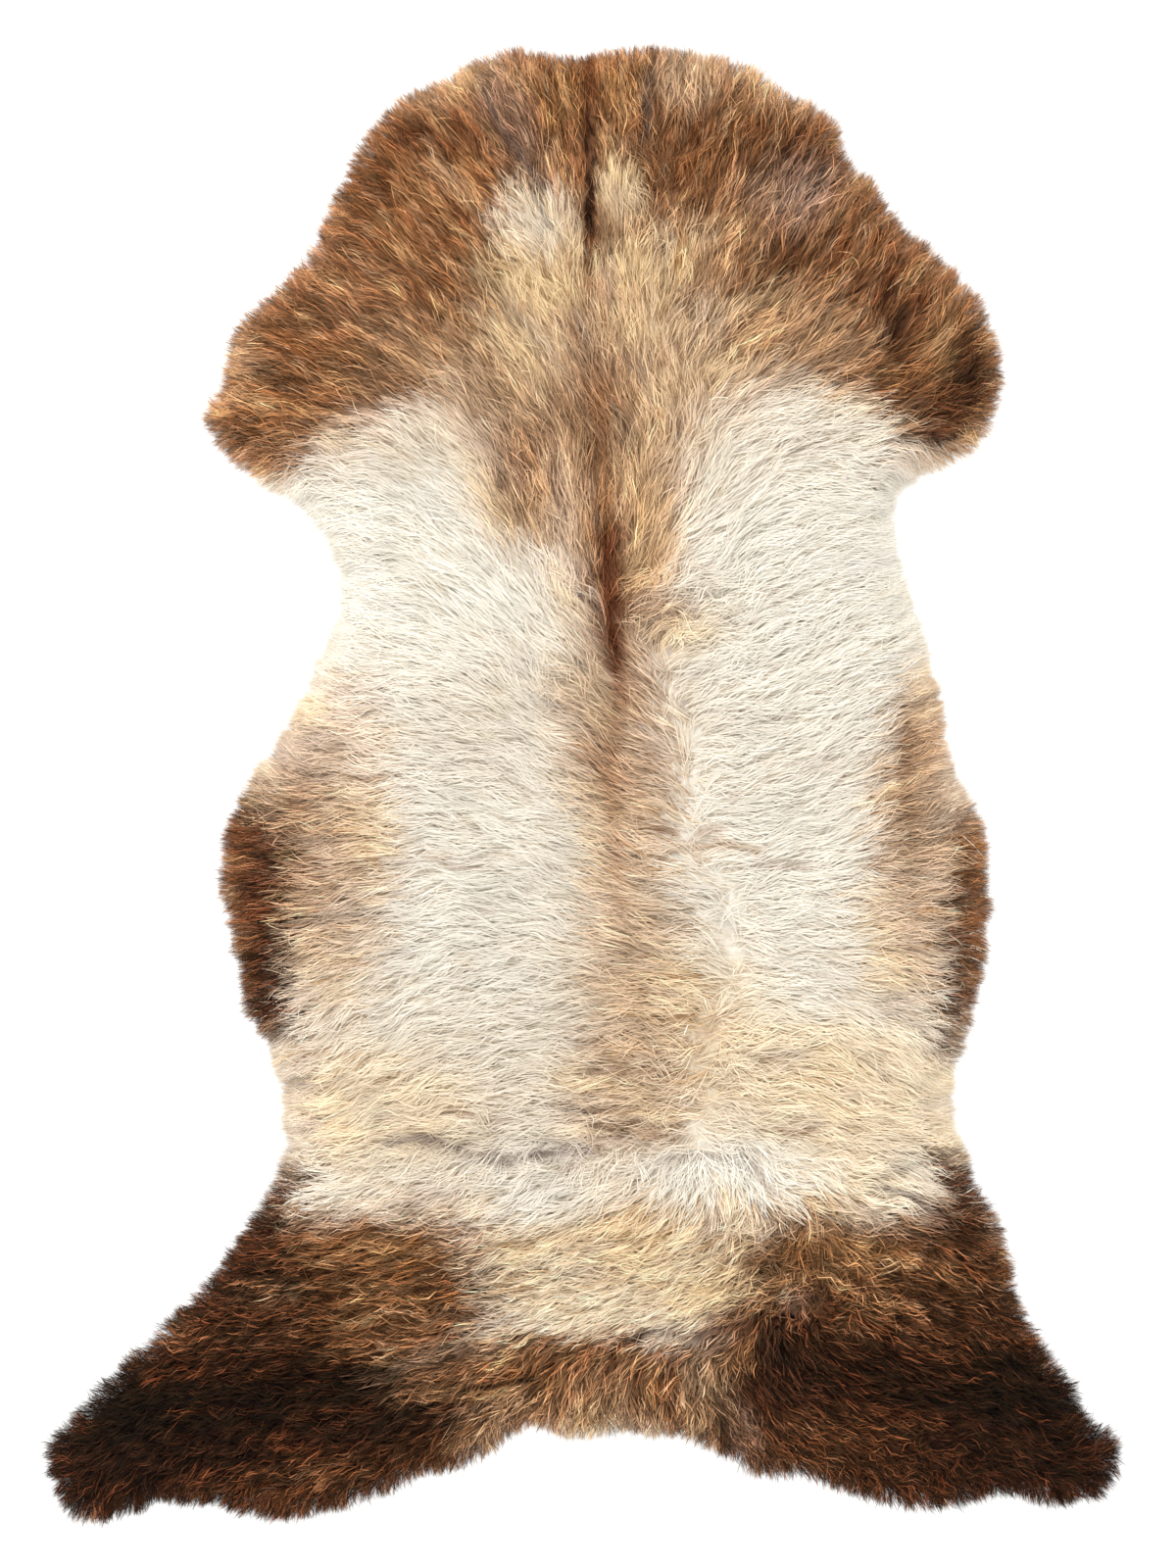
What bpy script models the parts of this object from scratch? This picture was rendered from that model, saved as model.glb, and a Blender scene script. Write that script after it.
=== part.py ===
"""Sheepskin rug: one whole tanned pelt that lies flat on its skin, wool up.

Metres, +Z up. +Y runs to the neck and +X to the right as seen from above. The skin rests on z = 0,
and the rug's bounding box is centred on x = 0, y = 0.
"""
from collections import namedtuple

import bmesh
import bpy
import numpy as np
from mathutils import Vector, noise
from mathutils.geometry import delaunay_2d_cdt

MM = 0.001

# Heights above the floor.
SKIN_THICK = 0.002
RIM_HEIGHT = 0.015          # top of the pile where the rim's locks are rooted
PILE_HEIGHT = 0.034         # top of the pile well inside the rim
PILE_RISE = 0.040           # distance from the rim in which most of that height is reached
LOWEST_PILE = 0.010         # no groove cuts the pile lower than this

# Unevenness of the pile: broad swells, and tufts that the comb left lying side by side.
SWELL_SIZE = 0.110
SWELL_HEIGHT = 0.0050
SWELL_LAYER = 0.3
TUFT_SIZE = 0.048
TUFT_HEIGHT = 0.0080
TUFT_LAYER = 7.7
FOLD_AT_RIM = 0.4           # part of a fold's depth that is left where it runs out at the rim

# Rim.
LOCK_COUNT = 260
LOCK_FILL = 0.72            # part of the rim that is lock, the rest being the gaps between them
LOCK_WIDTH_SPREAD = 0.45    # how far a lock's width may be from the mean, as a part of it
LOCK_REACH_SPREAD = 0.15    # the same for its length
LOCK_HEIGHT_SPREAD = 0.20   # the same for its height
LOCK_SWAY = 0.0025          # how far a tip may lie to the side of its neighbours' lean
LOCK_MID = 0.55             # where along its length a lock has its middle section
LOCK_MID_WIDTH = 0.78       # width there, and at the tip, of the width at the root
LOCK_TIP_WIDTH = 0.26
LOCK_MID_HEIGHT = 0.0090
LOCK_TIP_HEIGHT = 0.0022
SKIN_INSET = 0.009          # from the locks' roots in to the cut edge of the skin
SKIN_STEPS = 130            # straight pieces in the skin's cut edge

GRID_PITCH = 0.019          # spacing of the points that carry the pile's shape
GRID_CLEARANCE = 0.55       # how far they keep from the rim, in pitches
EDGE_STEPS = 1040           # steps in which the outline is walked
NORMAL_SPAN = 9             # steps either side over which the outline's direction is averaged
SMOOTH_PASSES = 30
INSIDE_ONLY = 1             # the triangulator's mode that leaves out what lies outside the outline
SEED = 11

# The wool's outer edge, walked from the middle of the neck down the left side and back up the right.
# fringe is how far the locks reach past the thick pile, and lean how far their tips lie along the walk.
# All are millimetres, and x and y are taken from the middle of the rug.
Stretch = namedtuple("Stretch", "name fringe lean edge")
STRETCHES = (
    Stretch("neck left", 14, -2, (
        (2, 565), (-20, 567), (-37, 565), (-57, 573), (-74, 566), (-110, 549), (-145, 529), (-163, 514))),
    Stretch("shoulder left", 15, -5, (
        (-172, 499), (-183, 477), (-196, 453), (-213, 420), (-228, 396), (-262, 365), (-275, 343),
        (-279, 310))),
    Stretch("foreleg left", 17, -4, (
        (-294, 291), (-288, 272), (-275, 253), (-250, 233), (-224, 217))),
    Stretch("waist left", 14, -4, (
        (-206, 204), (-194, 182), (-186, 153), (-192, 119), (-203, 98), (-223, 56))),
    Stretch("flank left", 20, -2, (
        (-243, 26), (-263, -5), (-277, -44), (-281, -75), (-274, -109), (-267, -144), (-262, -170),
        (-243, -204), (-235, -241), (-229, -279))),
    Stretch("thigh left", 15, 5, (
        (-240, -304), (-263, -344), (-280, -371), (-302, -398), (-340, -432), (-381, -470))),
    Stretch("hind leg left", 16, -3, (
        (-409, -498), (-417, -520), (-410, -545), (-401, -569), (-382, -574), (-345, -560), (-308, -555),
        (-270, -563), (-249, -572), (-203, -564), (-148, -547))),
    Stretch("tail", 12, 0, (
        (-110, -529), (-84, -525), (-55, -501), (-38, -494), (-19, -503), (6, -505), (33, -502),
        (72, -503), (101, -517))),
    Stretch("hind leg right", 15, 4, (
        (130, -533), (177, -540), (234, -556), (263, -560), (298, -559), (324, -548), (362, -558),
        (388, -556), (406, -550), (416, -522), (416, -505), (401, -498), (384, -490), (383, -472))),
    Stretch("thigh right", 14, -4, (
        (362, -444), (342, -412), (331, -382), (322, -340), (298, -300))),
    Stretch("flank right", 19, 3, (
        (286, -257), (284, -234), (293, -194), (303, -162), (310, -124), (312, -82), (309, -37),
        (298, -12), (286, -3), (280, 28), (271, 69))),
    Stretch("waist right", 14, 3, (
        (263, 104), (249, 154), (241, 183), (235, 209))),
    Stretch("foreleg right", 17, 2, (
        (243, 228), (275, 246), (302, 262), (317, 282), (321, 323), (316, 354))),
    Stretch("shoulder right", 15, -2, (
        (301, 381), (275, 410), (240, 441), (221, 469), (203, 483))),
    Stretch("neck right", 14, 1, (
        (201, 500), (194, 516), (159, 539), (127, 560), (98, 566), (72, 570), (45, 573), (23, 572))),
)

# Partings, creases and folds in the wool: depth is how far the pile is cut there, or raised where it is
# negative, and width how wide the dip is. Millimetres, placed as the outline is.
Fold = namedtuple("Fold", "name depth width line")
FOLDS = (
    Fold("spine, neck to shoulders", 11, 13, ((5, 560), (4, 470), (2, 380), (6, 300), (14, 230))),
    Fold("spine, shoulders to loin", 10, 14, ((17, 245), (20, 170), (25, 110), (28, 70), (48, 20))),
    Fold("parting, loin", 6, 18, ((48, 20), (88, -48), (118, -129), (94, -200), (84, -245))),
    Fold("crease across the rump", 9, 14, ((-150, -278), (-70, -273), (0, -286), (102, -286), (190, -270))),
    Fold("parting on the right shoulder", 9, 12, ((234, 372), (246, 330), (260, 289))),
    Fold("parting on the right flank", 9, 12, ((252, 77), (248, 14), (254, -35), (263, -75))),
    Fold("fold of the right hind leg", -9, 22, ((312, -545), (340, -538), (368, -530), (390, -520))),
    Fold("hollow above that fold", 9, 20, ((344, -490), (360, -476), (374, -470))),
    Fold("curl of the right foreleg", -6, 30, ((281, 268), (296, 300), (292, 340))),
    Fold("curl of the left foreleg", -5, 26, ((-268, 290), (-240, 270))),
)


def remove_old_objects():
    for old in list(bpy.data.objects):
        bpy.data.objects.remove(old, do_unlink=True)


def wool_material():
    material = bpy.data.materials.new("wool")
    material.use_nodes = True
    shader = material.node_tree.nodes["Principled BSDF"]
    shader.inputs["Base Color"].default_value = (0.58, 0.43, 0.28, 1.0)
    shader.inputs["Roughness"].default_value = 0.85
    shader.inputs["Metallic"].default_value = 0.0
    return material


def curve_through(points, closed, steps_per_span=16):
    """A centripetal Catmull-Rom curve through the points, as a polyline."""
    points = np.array(points, dtype=float)
    if closed:
        points = np.vstack([points[-1:], points, points[:2]])
    else:
        points = np.vstack([2 * points[0] - points[1], points, 2 * points[-1] - points[-2]])
    curve = []
    for p0, p1, p2, p3 in zip(points, points[1:], points[2:], points[3:]):
        knots = np.cumsum([0] + [np.linalg.norm(b - a) ** 0.5 for a, b in ((p0, p1), (p1, p2), (p2, p3))])
        t = np.linspace(knots[1], knots[2], steps_per_span, endpoint=False)[:, None]

        def blend(a, b, start, end):
            return a + (b - a) * (t - start) / (end - start)

        a1 = blend(p0, p1, knots[0], knots[1])
        a2 = blend(p1, p2, knots[1], knots[2])
        a3 = blend(p2, p3, knots[2], knots[3])
        b1 = blend(a1, a2, knots[0], knots[2])
        b2 = blend(a2, a3, knots[1], knots[3])
        curve.append(blend(b1, b2, knots[1], knots[2]))
    curve = np.vstack(curve)
    return curve if closed else np.vstack([curve, points[-2:-1]])


def averaged(values, span):
    """Each row's mean with its neighbours on a closed walk."""
    return sum(np.roll(values, shift, axis=0) for shift in range(-span, span + 1)) / (2 * span + 1)


def inward(line, span):
    """Unit vectors from each point of a closed line to the side that it goes round."""
    along = averaged(np.roll(line, -1, axis=0) - np.roll(line, 1, axis=0), span)
    along /= np.linalg.norm(along, axis=1)[:, None]
    return np.column_stack([-along[:, 1], along[:, 0]])


class Rim:
    """The outline as two lines walked together: where the locks are rooted and where they end."""

    def __init__(self):
        rows = [(x, y, s.fringe, s.lean) for s in STRETCHES for x, y in s.edge]
        walk = curve_through(np.array(rows) * MM, closed=True)
        walk = np.vstack([walk, walk[:1]])
        length = np.concatenate([[0], np.cumsum(np.linalg.norm(np.diff(walk[:, :2], axis=0), axis=1))])
        self.length = length[-1]
        even = np.linspace(0, self.length, EDGE_STEPS, endpoint=False)
        walk = np.column_stack([np.interp(even, length, column) for column in walk.T])
        self.tips = walk[:, :2]
        fringe = averaged(walk[:, 2:3], NORMAL_SPAN)
        self.lean = averaged(walk[:, 3], NORMAL_SPAN)
        roots = self.tips + inward(self.tips, NORMAL_SPAN) * fringe
        for _ in range(SMOOTH_PASSES):
            roots = averaged(roots, 1)
        self.roots = roots

    def sample(self, values, at):
        steps = np.arange(EDGE_STEPS)
        columns = np.atleast_2d(values.T)
        return np.array([np.interp(at * EDGE_STEPS, steps, column, period=EDGE_STEPS) for column in columns])

    def place(self, at, out):
        """The point that lies at this part of the walk, and this part of the way from root to tip."""
        lean = self.sample(self.lean, at)[0] / self.length
        there = at + lean * out
        return self.sample(self.roots, there) * (1 - out) + self.sample(self.tips, there) * out


def lock_places(rng):
    """Start and end of each lock's root as parts of the walk."""
    share = 1 + LOCK_WIDTH_SPREAD * rng.uniform(-1, 1, LOCK_COUNT)
    starts = np.concatenate([[0], np.cumsum(share)]) / share.sum()
    return [(start, start + (end - start) * LOCK_FILL) for start, end in zip(starts, starts[1:])]


def nearest_on(line, points):
    """Each point's distance from a polyline, in plan."""
    best = np.full(len(points), np.inf)
    for a, b in zip(line, line[1:]):
        run = b - a
        t = np.clip((points - a) @ run / max(run @ run, 1e-12), 0, 1)
        best = np.minimum(best, np.linalg.norm(points - a - t[:, None] * run, axis=1))
    return best


def inside(line, points):
    """Which points a closed line goes round."""
    crossings = np.zeros(len(points), dtype=int)
    for a, b in zip(line, np.roll(line, -1, axis=0)):
        spans = (a[1] > points[:, 1]) != (b[1] > points[:, 1])
        rise = b[1] - a[1] if b[1] != a[1] else 1.0
        crossings += spans & (points[:, 0] < a[0] + (b[0] - a[0]) * (points[:, 1] - a[1]) / rise)
    return crossings % 2 == 1


def swell(points, size, layer):
    """Smooth unevenness between -1 and 1 whose lumps are about this size."""
    return np.array([noise.noise(Vector((x / size, y / size, layer))) for x, y in points])


def pile_height(points, rim_line):
    """Height of the wool's top at each point of the slab."""
    depth = nearest_on(np.vstack([rim_line, rim_line[:1]]), points)
    rise = 1 - np.exp(-depth / PILE_RISE)
    height = RIM_HEIGHT + (PILE_HEIGHT - RIM_HEIGHT) * rise
    height += SWELL_HEIGHT * swell(points, SWELL_SIZE, SWELL_LAYER) * rise
    height += TUFT_HEIGHT * swell(points, TUFT_SIZE, TUFT_LAYER)
    for fold in FOLDS:
        line = curve_through(np.array(fold.line) * MM, closed=False, steps_per_span=4)
        reach = nearest_on(line, points) / (fold.width * MM)
        height -= fold.depth * MM * np.exp(-reach ** 2) * (FOLD_AT_RIM + (1 - FOLD_AT_RIM) * rise)
    return np.maximum(height, LOWEST_PILE)


def hex_grid(low, high, pitch):
    """Points in rows, each row half a pitch along from the last."""
    rows = np.arange(low[1], high[1], pitch * 3 ** 0.5 / 2)
    starts = [low[0] + pitch / 2 * (i % 2) for i in range(len(rows))]
    return np.array([(x, y) for start, y in zip(starts, rows) for x in np.arange(start, high[0], pitch)])


def triangulate(loops, loose=()):
    """Triangles through all the points, inside the first closed loop and outside any others."""
    points = [Vector(p) for loop in loops for p in loop] + [Vector(p) for p in loose]
    edges = []
    start = 0
    for loop in loops:
        edges += [(start + i, start + (i + 1) % len(loop)) for i in range(len(loop))]
        start += len(loop)
    _, _, faces, came_from, _, _ = delaunay_2d_cdt(points, edges, [], INSIDE_ONLY, 1e-7)
    assert len(came_from) == len(points), "the outline crosses itself"
    faces = np.array([[came_from[i][0] for i in face] for face in faces])
    middles = np.array(points)[faces].mean(axis=1)
    for hole in loops[1:]:
        keep = ~inside(hole, middles)
        faces, middles = faces[keep], middles[keep]
    return faces


class Solid:
    """Points and faces on their way to becoming one closed mesh."""

    def __init__(self):
        self.points = []
        self.faces = []

    def add(self, plan, heights):
        first = len(self.points)
        heights = np.broadcast_to(heights, len(plan))
        self.points += [(x, y, z) for (x, y), z in zip(plan, heights)]
        return list(range(first, len(self.points)))

    def fill(self, triangles, names):
        self.faces += [[names[i] for i in triangle] for triangle in triangles]

    def band(self, above, below):
        """Quads between two closed rings of the same length."""
        count = len(above)
        for i in range(count):
            j = (i + 1) % count
            self.faces.append([above[i], above[j], below[j], below[i]])


def add_slab(solid, rim, corners):
    """Pile, wool underside and skin, but for the side wall, whose two rings are returned."""
    ring = rim.place(corners, 0.0).T
    top = solid.add(ring, pile_height(ring, ring))
    grid = hex_grid(ring.min(axis=0), ring.max(axis=0), GRID_PITCH)
    grid = grid[inside(ring, grid)]
    grid = grid[nearest_on(np.vstack([ring, ring[:1]]), grid) > GRID_CLEARANCE * GRID_PITCH]
    loose = solid.add(grid, pile_height(grid, ring))
    solid.fill(triangulate([ring], grid), top + loose)

    cut = rim.place(np.arange(SKIN_STEPS) / SKIN_STEPS, 0.0).T
    cut = averaged(cut + inward(cut, 0) * SKIN_INSET, 1)
    under = solid.add(ring, SKIN_THICK)
    skin_top = solid.add(cut, SKIN_THICK)
    skin_bottom = solid.add(cut, 0.0)
    solid.fill(triangulate([ring, cut]), under + skin_top)
    solid.band(skin_top, skin_bottom)
    solid.fill(triangulate([cut]), skin_bottom)
    return top, under


def add_lock(solid, rim, root, start, end, rng):
    """One lock: its root is four points of the slab's wall, and it rests on the floor from mid to tip."""
    reach = 1 + LOCK_REACH_SPREAD * rng.uniform(-1, 1)
    tallness = 1 + LOCK_HEIGHT_SPREAD * rng.uniform(-1, 1)
    sway = LOCK_SWAY * rng.uniform(-1, 1) / rim.length
    section = root
    for out, width, height in ((LOCK_MID, LOCK_MID_WIDTH, LOCK_MID_HEIGHT),
                               (1.0, LOCK_TIP_WIDTH, LOCK_TIP_HEIGHT)):
        sides = (start + end) / 2 + np.array([-0.5, 0.5]) * (end - start) * width + sway * out
        plan = rim.place(sides, out * reach).T
        upper = solid.add(plan, height * tallness)
        lower = solid.add(plan, 0.0)
        following = [upper[0], upper[1], lower[1], lower[0]]
        solid.band(section, following)
        section = following
    solid.faces.append(section)


def add_rim(solid, rim, locks, top, under, rng):
    """The locks and, between them, the slab's own side wall."""
    count = len(locks)
    for i, (start, end) in enumerate(locks):
        left, right = 2 * i, 2 * i + 1
        root = [top[left], top[right], under[right], under[left]]
        add_lock(solid, rim, root, start, end, rng)
        after = (right + 1) % (2 * count)
        solid.faces.append([top[right], top[after], under[after], under[right]])


def build_sheepskin():
    rng = np.random.default_rng(SEED)
    rim = Rim()
    locks = lock_places(rng)
    corners = np.array(locks).ravel()
    solid = Solid()
    top, under = add_slab(solid, rim, corners)
    add_rim(solid, rim, locks, top, under, rng)

    points = np.array(solid.points)
    points[:, :2] -= (points[:, :2].min(axis=0) + points[:, :2].max(axis=0)) / 2
    mesh = bpy.data.meshes.new("sheepskin")
    mesh.from_pydata([tuple(p) for p in points], [], solid.faces)
    shape = bmesh.new()
    shape.from_mesh(mesh)
    bmesh.ops.triangulate(shape, faces=shape.faces)
    bmesh.ops.recalc_face_normals(shape, faces=shape.faces)
    shape.to_mesh(mesh)
    shape.free()
    mesh.materials.append(wool_material())
    rug = bpy.data.objects.new("sheepskin", mesh)
    bpy.context.scene.collection.objects.link(rug)
    return rug


remove_old_objects()
build_sheepskin()
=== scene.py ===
import math
import bpy
import numpy as np
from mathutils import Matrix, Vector
from mathutils.bvhtree import BVHTree


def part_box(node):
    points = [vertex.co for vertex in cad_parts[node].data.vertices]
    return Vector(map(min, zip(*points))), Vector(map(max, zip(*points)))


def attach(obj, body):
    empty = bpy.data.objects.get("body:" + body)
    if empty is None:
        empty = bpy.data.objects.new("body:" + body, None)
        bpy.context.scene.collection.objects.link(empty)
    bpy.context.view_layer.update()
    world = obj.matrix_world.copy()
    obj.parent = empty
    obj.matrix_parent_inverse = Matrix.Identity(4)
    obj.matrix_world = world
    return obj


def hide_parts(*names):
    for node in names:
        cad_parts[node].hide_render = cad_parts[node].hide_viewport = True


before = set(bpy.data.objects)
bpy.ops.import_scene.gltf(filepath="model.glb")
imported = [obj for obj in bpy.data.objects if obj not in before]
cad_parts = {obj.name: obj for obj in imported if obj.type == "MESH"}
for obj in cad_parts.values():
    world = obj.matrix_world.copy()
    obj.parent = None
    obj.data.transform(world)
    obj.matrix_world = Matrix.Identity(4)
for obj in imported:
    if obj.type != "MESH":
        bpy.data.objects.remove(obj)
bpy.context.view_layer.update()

mm = 0.001
luck = np.random.default_rng(11)

# The solid's height is read on a grid, and all the wool is grown over that relief
relief = {
    "step": 2.5 * mm,           # between two readings
    "above": 10 * mm,           # start of each reading over the highest point
    "margin": 45 * mm,          # empty floor kept round the pelt
    "heightPasses": 3,          # averaging that closes the gaps between the rim's locks
    "edgePasses": 5,            # averaging of the distance from the edge
    "deepest": 45 * mm,         # distances from the edge are told apart up to here
    "gap": 7.5 * mm,            # the outline runs straight over gaps up to twice as wide between the locks
    "outPasses": 6,             # averaging of the distance before its outward direction is read
}


def rolled(field, down, across):
    return np.roll(np.roll(field, down, axis=0), across, axis=1)


def averaged(field, passes):
    for _ in range(passes):
        for axis in (0, 1):
            field = (np.roll(field, 1, axis) + 2 * field + np.roll(field, -1, axis)) / 4
    return field


def distanceFrom(marked, limit):
    # How far each grid point is from the nearest marked one, in grid steps
    moves = ((0, 1), (1, 0), (1, 1), (1, 2), (2, 1))
    steps = [(a, b) for a in range(-2, 3) for b in range(-2, 3) if (abs(a), abs(b)) in moves]
    away = np.where(marked, 0.0, limit)
    for _ in range(int(limit)):
        for down, across in steps:
            away = np.minimum(away, rolled(away, down, across) + math.hypot(down, across))
    return away


class Relief:
    def __init__(self, solid, use):
        self.step = use["step"]
        low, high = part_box(solid.name)
        self.xs = np.arange(low.x - use["margin"], high.x + use["margin"], self.step)
        self.ys = np.arange(low.y - use["margin"], high.y + use["margin"], self.step)
        points = [point.co for point in solid.data.vertices]
        tree = BVHTree.FromPolygons(points, [face.vertices for face in solid.data.polygons])
        down = Vector((0, 0, -1))
        raw = np.zeros((len(self.ys), len(self.xs)))
        for row, y in enumerate(self.ys):
            for column, x in enumerate(self.xs):
                hit = tree.ray_cast(Vector((x, y, high.z + use["above"])), down)[0]
                if hit is not None:
                    raw[row, column] = hit.z
        inside = raw > 0
        limit, gap = (use["deepest"] + use["gap"]) / self.step, use["gap"] / self.step
        closed = distanceFrom(inside, limit) < gap
        away = distanceFrom(~closed, limit) - distanceFrom(closed, limit) - gap
        self.height = averaged(raw, use["heightPasses"])
        self.edge = averaged(away, use["edgePasses"]) * self.step   # positive inside the outline
        rise, run = np.gradient(averaged(self.edge, use["outPasses"]))
        size = np.hypot(rise, run) + 1e-9
        self.outX, self.outY = -run / size, -rise / size
        self.gridX, self.gridY = np.meshgrid(self.xs, self.ys)

    def at(self, field, x, y):
        # A field's value between the grid's points
        column = np.clip((x - self.xs[0]) / self.step, 0, len(self.xs) - 1.001)
        row = np.clip((y - self.ys[0]) / self.step, 0, len(self.ys) - 1.001)
        left, low = column.astype(int), row.astype(int)
        u, v = column - left, row - low
        lower = field[low, left] * (1 - u) + field[low, left + 1] * u
        upper = field[low + 1, left] * (1 - u) + field[low + 1, left + 1] * u
        return lower * (1 - v) + upper * v


land = Relief(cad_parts["sheepskin"], relief)
print("relief read,", land.height.size, "points, highest", round(float(land.height.max()), 4))

# Which way the wool is combed: each row is up the pelt (mm), then pairs of across (mm) and the tips'
# heading (degrees, from the right round towards the neck)
combRows = (
    (562, ((-74, 118), (-13, 110), (48, 92), (108, 78))),
    (524, ((-149, 140), (-104, 134), (-58, 120), (-13, 106), (33, 98), (78, 88), (131, 70), (184, 68))),
    (471, ((-172, 150), (-127, 128), (-74, 130), (-28, 108), (2, 92), (48, 94), (93, 68), (146, 62),
           (199, 50))),
    (418, ((-210, 155), (-157, 148), (-111, 140), (-58, 136), (-17, 108), (17, 88), (63, 84), (108, 70),
           (161, 62), (207, 58), (260, 60))),
    (365, ((-248, 165), (-202, 152), (-149, 146), (-104, 132), (-51, 120), (-5, 112), (40, 94),
           (86, 66), (131, 50), (177, 46), (222, 58), (275, 62))),
    (319, ((-263, 165), (-202, 158), (-149, 154), (-96, 138), (-43, 124), (10, 112), (63, 104),
           (108, 52), (154, 32), (199, 25), (245, 30), (294, 40))),
    (289, ((-290, 176), (-240, 165), (-187, 162), (-134, 156), (-89, 134), (-36, 124), (25, 115),
           (70, 108), (116, 22), (169, 14), (230, 8), (305, 10))),
    (244, ((-248, 185), (-202, 176), (-149, 160), (-104, 140), (-66, 118), (-20, 98), (33, 92),
           (78, 66), (124, 40), (177, -8), (237, -2), (290, -5))),
    (191, ((-187, 176), (-142, 164), (-96, 145), (-58, 122), (-20, 100), (16, 96), (48, 70), (93, 48),
           (139, 28), (192, 4), (233, 2))),
    (138, ((-183, 178), (-134, 166), (-89, 146), (-51, 136), (-13, 122), (16, 120), (40, 14), (86, 4),
           (131, 20), (184, 24), (237, 20))),
    (85, ((-202, 176), (-157, 174), (-111, 166), (-66, 150), (-28, 142), (10, 140), (48, 146), (78, 10),
          (124, 18), (177, 28), (222, 26), (268, 18))),
    (24, ((-240, 180), (-187, 178), (-127, 178), (-74, 162), (-28, 154), (17, 150), (63, 158), (108, 0),
          (154, 22), (207, 28), (260, 22))),
    (-37, ((-271, 182), (-218, 182), (-157, 184), (-104, 178), (-51, 170), (2, 162), (55, 165),
           (112, 0), (161, 14), (215, 22), (268, 10), (305, 4))),
    (-90, ((-274, 182), (-218, 185), (-164, 190), (-111, 186), (-58, 170), (-5, 158), (48, 166),
           (93, 170), (135, 4), (192, 0), (245, 0), (305, 0))),
    (-150, ((-263, 186), (-210, 200), (-157, 202), (-104, 198), (-51, 182), (2, 178), (63, 174),
            (101, 170), (131, -5), (184, -9), (237, -10), (298, -8))),
    (-204, ((-240, 196), (-195, 212), (-142, 206), (-89, 192), (-28, 181), (33, 180), (78, 178),
            (108, 0), (161, -6), (207, -28), (252, -34), (294, -36))),
    (-257, ((-233, 198), (-180, 196), (-119, 187), (-58, 180), (2, 177), (70, 176), (105, 0), (154, -3),
            (207, -16), (252, -10), (290, -16))),
    (-310, ((-233, 196), (-187, 190), (-127, 196), (-66, 205), (-5, 206), (48, 216), (78, 235),
            (105, 272), (131, 305), (158, -28), (207, -15), (268, -16), (305, -30))),
    (-363, ((-271, 206), (-218, 190), (-157, 188), (-96, 190), (-36, 192), (25, 190), (70, 206),
            (108, 203), (146, 192), (175, 184), (196, -8), (230, -10), (260, -12), (321, -44))),
    (-389, ((33, 184), (78, 190), (116, 192), (154, 192), (175, 186), (193, -12), (230, -9))),
    (-416, ((-324, 216), (-271, 192), (-202, 182), (-134, 184), (-74, 190), (-13, 192), (40, 194),
            (78, 204), (108, 225), (139, 268), (165, 300), (192, 330), (222, -24), (268, -20), (328, -42))),
    (-469, ((-377, 214), (-324, 196), (-263, 186), (-195, 187), (-127, 192), (-74, 203), (-36, 226),
            (2, 262), (40, 268), (78, 278), (116, -62), (154, -42), (192, -16), (230, -10), (290, -6),
            (359, -32))),
    (-514, ((-411, 200), (-369, 212), (-309, 200), (-240, 192), (-172, 200), (-111, 214), (-58, 225),
            (-20, 250), (33, 270), (78, 285), (131, -40), (192, -22), (252, -26), (313, -20), (381, -4),
            (415, 8))),
    (-560, ((-403, 238), (-362, 214), (-309, 218), (-255, 222), (-202, 216), (-149, 222), (177, -35),
            (237, -30), (290, -40), (351, -30), (396, -35))),
)

comb = {
    "guideSize": 15 * mm,       # a guide rules alone within about this distance
    "edgeTurn": 26 * mm,        # from here to the edge the wool turns outwards
    "edgeShare": 0.75,
}


def combedWay(use):
    # Heading of the wool at every grid point, as the two parts of a unit arrow
    alongX, alongY, total = (np.zeros_like(land.gridX) for _ in range(3))
    for up, row in combRows:
        for across, heading in row:
            gap = (land.gridX - across * mm) ** 2 + (land.gridY - up * mm) ** 2
            pull = 1 / (gap + use["guideSize"] ** 2) ** 2
            alongX += pull * math.cos(math.radians(heading))
            alongY += pull * math.sin(math.radians(heading))
            total += pull
    # The guides' arrows cancel out at a parting, which leaves a short one
    size = np.hypot(alongX, alongY) + 1e-9
    land.parting = averaged(1 - size / total, 2)
    near = use["edgeShare"] * np.clip(1 - land.edge / use["edgeTurn"], 0, 1)
    alongX = alongX / size * (1 - near) + land.outX * near
    alongY = alongY / size * (1 - near) + land.outY * near
    size = np.hypot(alongX, alongY) + 1e-9
    return alongX / size, alongY / size


land.combX, land.combY = combedWay(comb)
print("wool combed along", sum(len(row) for _, row in combRows), "guides")


def streaked(reach, grain):
    # Chance spots drawn out along the comb direction, with a spread of 1
    spots = averaged(luck.normal(size=land.height.shape), grain)
    total = spots.copy()
    for way in (1, -1):
        x, y = land.gridX.copy(), land.gridY.copy()
        for _ in range(int(reach / land.step)):
            moveX, moveY = (way * land.step * land.at(part, x, y) for part in (land.combX, land.combY))
            x, y = x + moveX, y + moveY
            total += land.at(spots, x, y)
    return total / total.std()


drifts = {"waves": 7, "longest": 0.7, "step": 0.1, "calm": 2.6}


def drift(x, y, size, seed):
    # Slow chance change over the pelt, about -1 to 1, one swing in about the given size
    turns = np.random.default_rng(seed).uniform(0, 2 * math.pi, (drifts["waves"], 2))
    total = 0
    for n, (turn, start) in enumerate(turns):
        along = x * math.cos(turn) + y * math.sin(turn)
        total = total + np.sin(along * 2 * math.pi / size * (drifts["longest"] + drifts["step"] * n) + start)
    return total / drifts["calm"]


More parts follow.
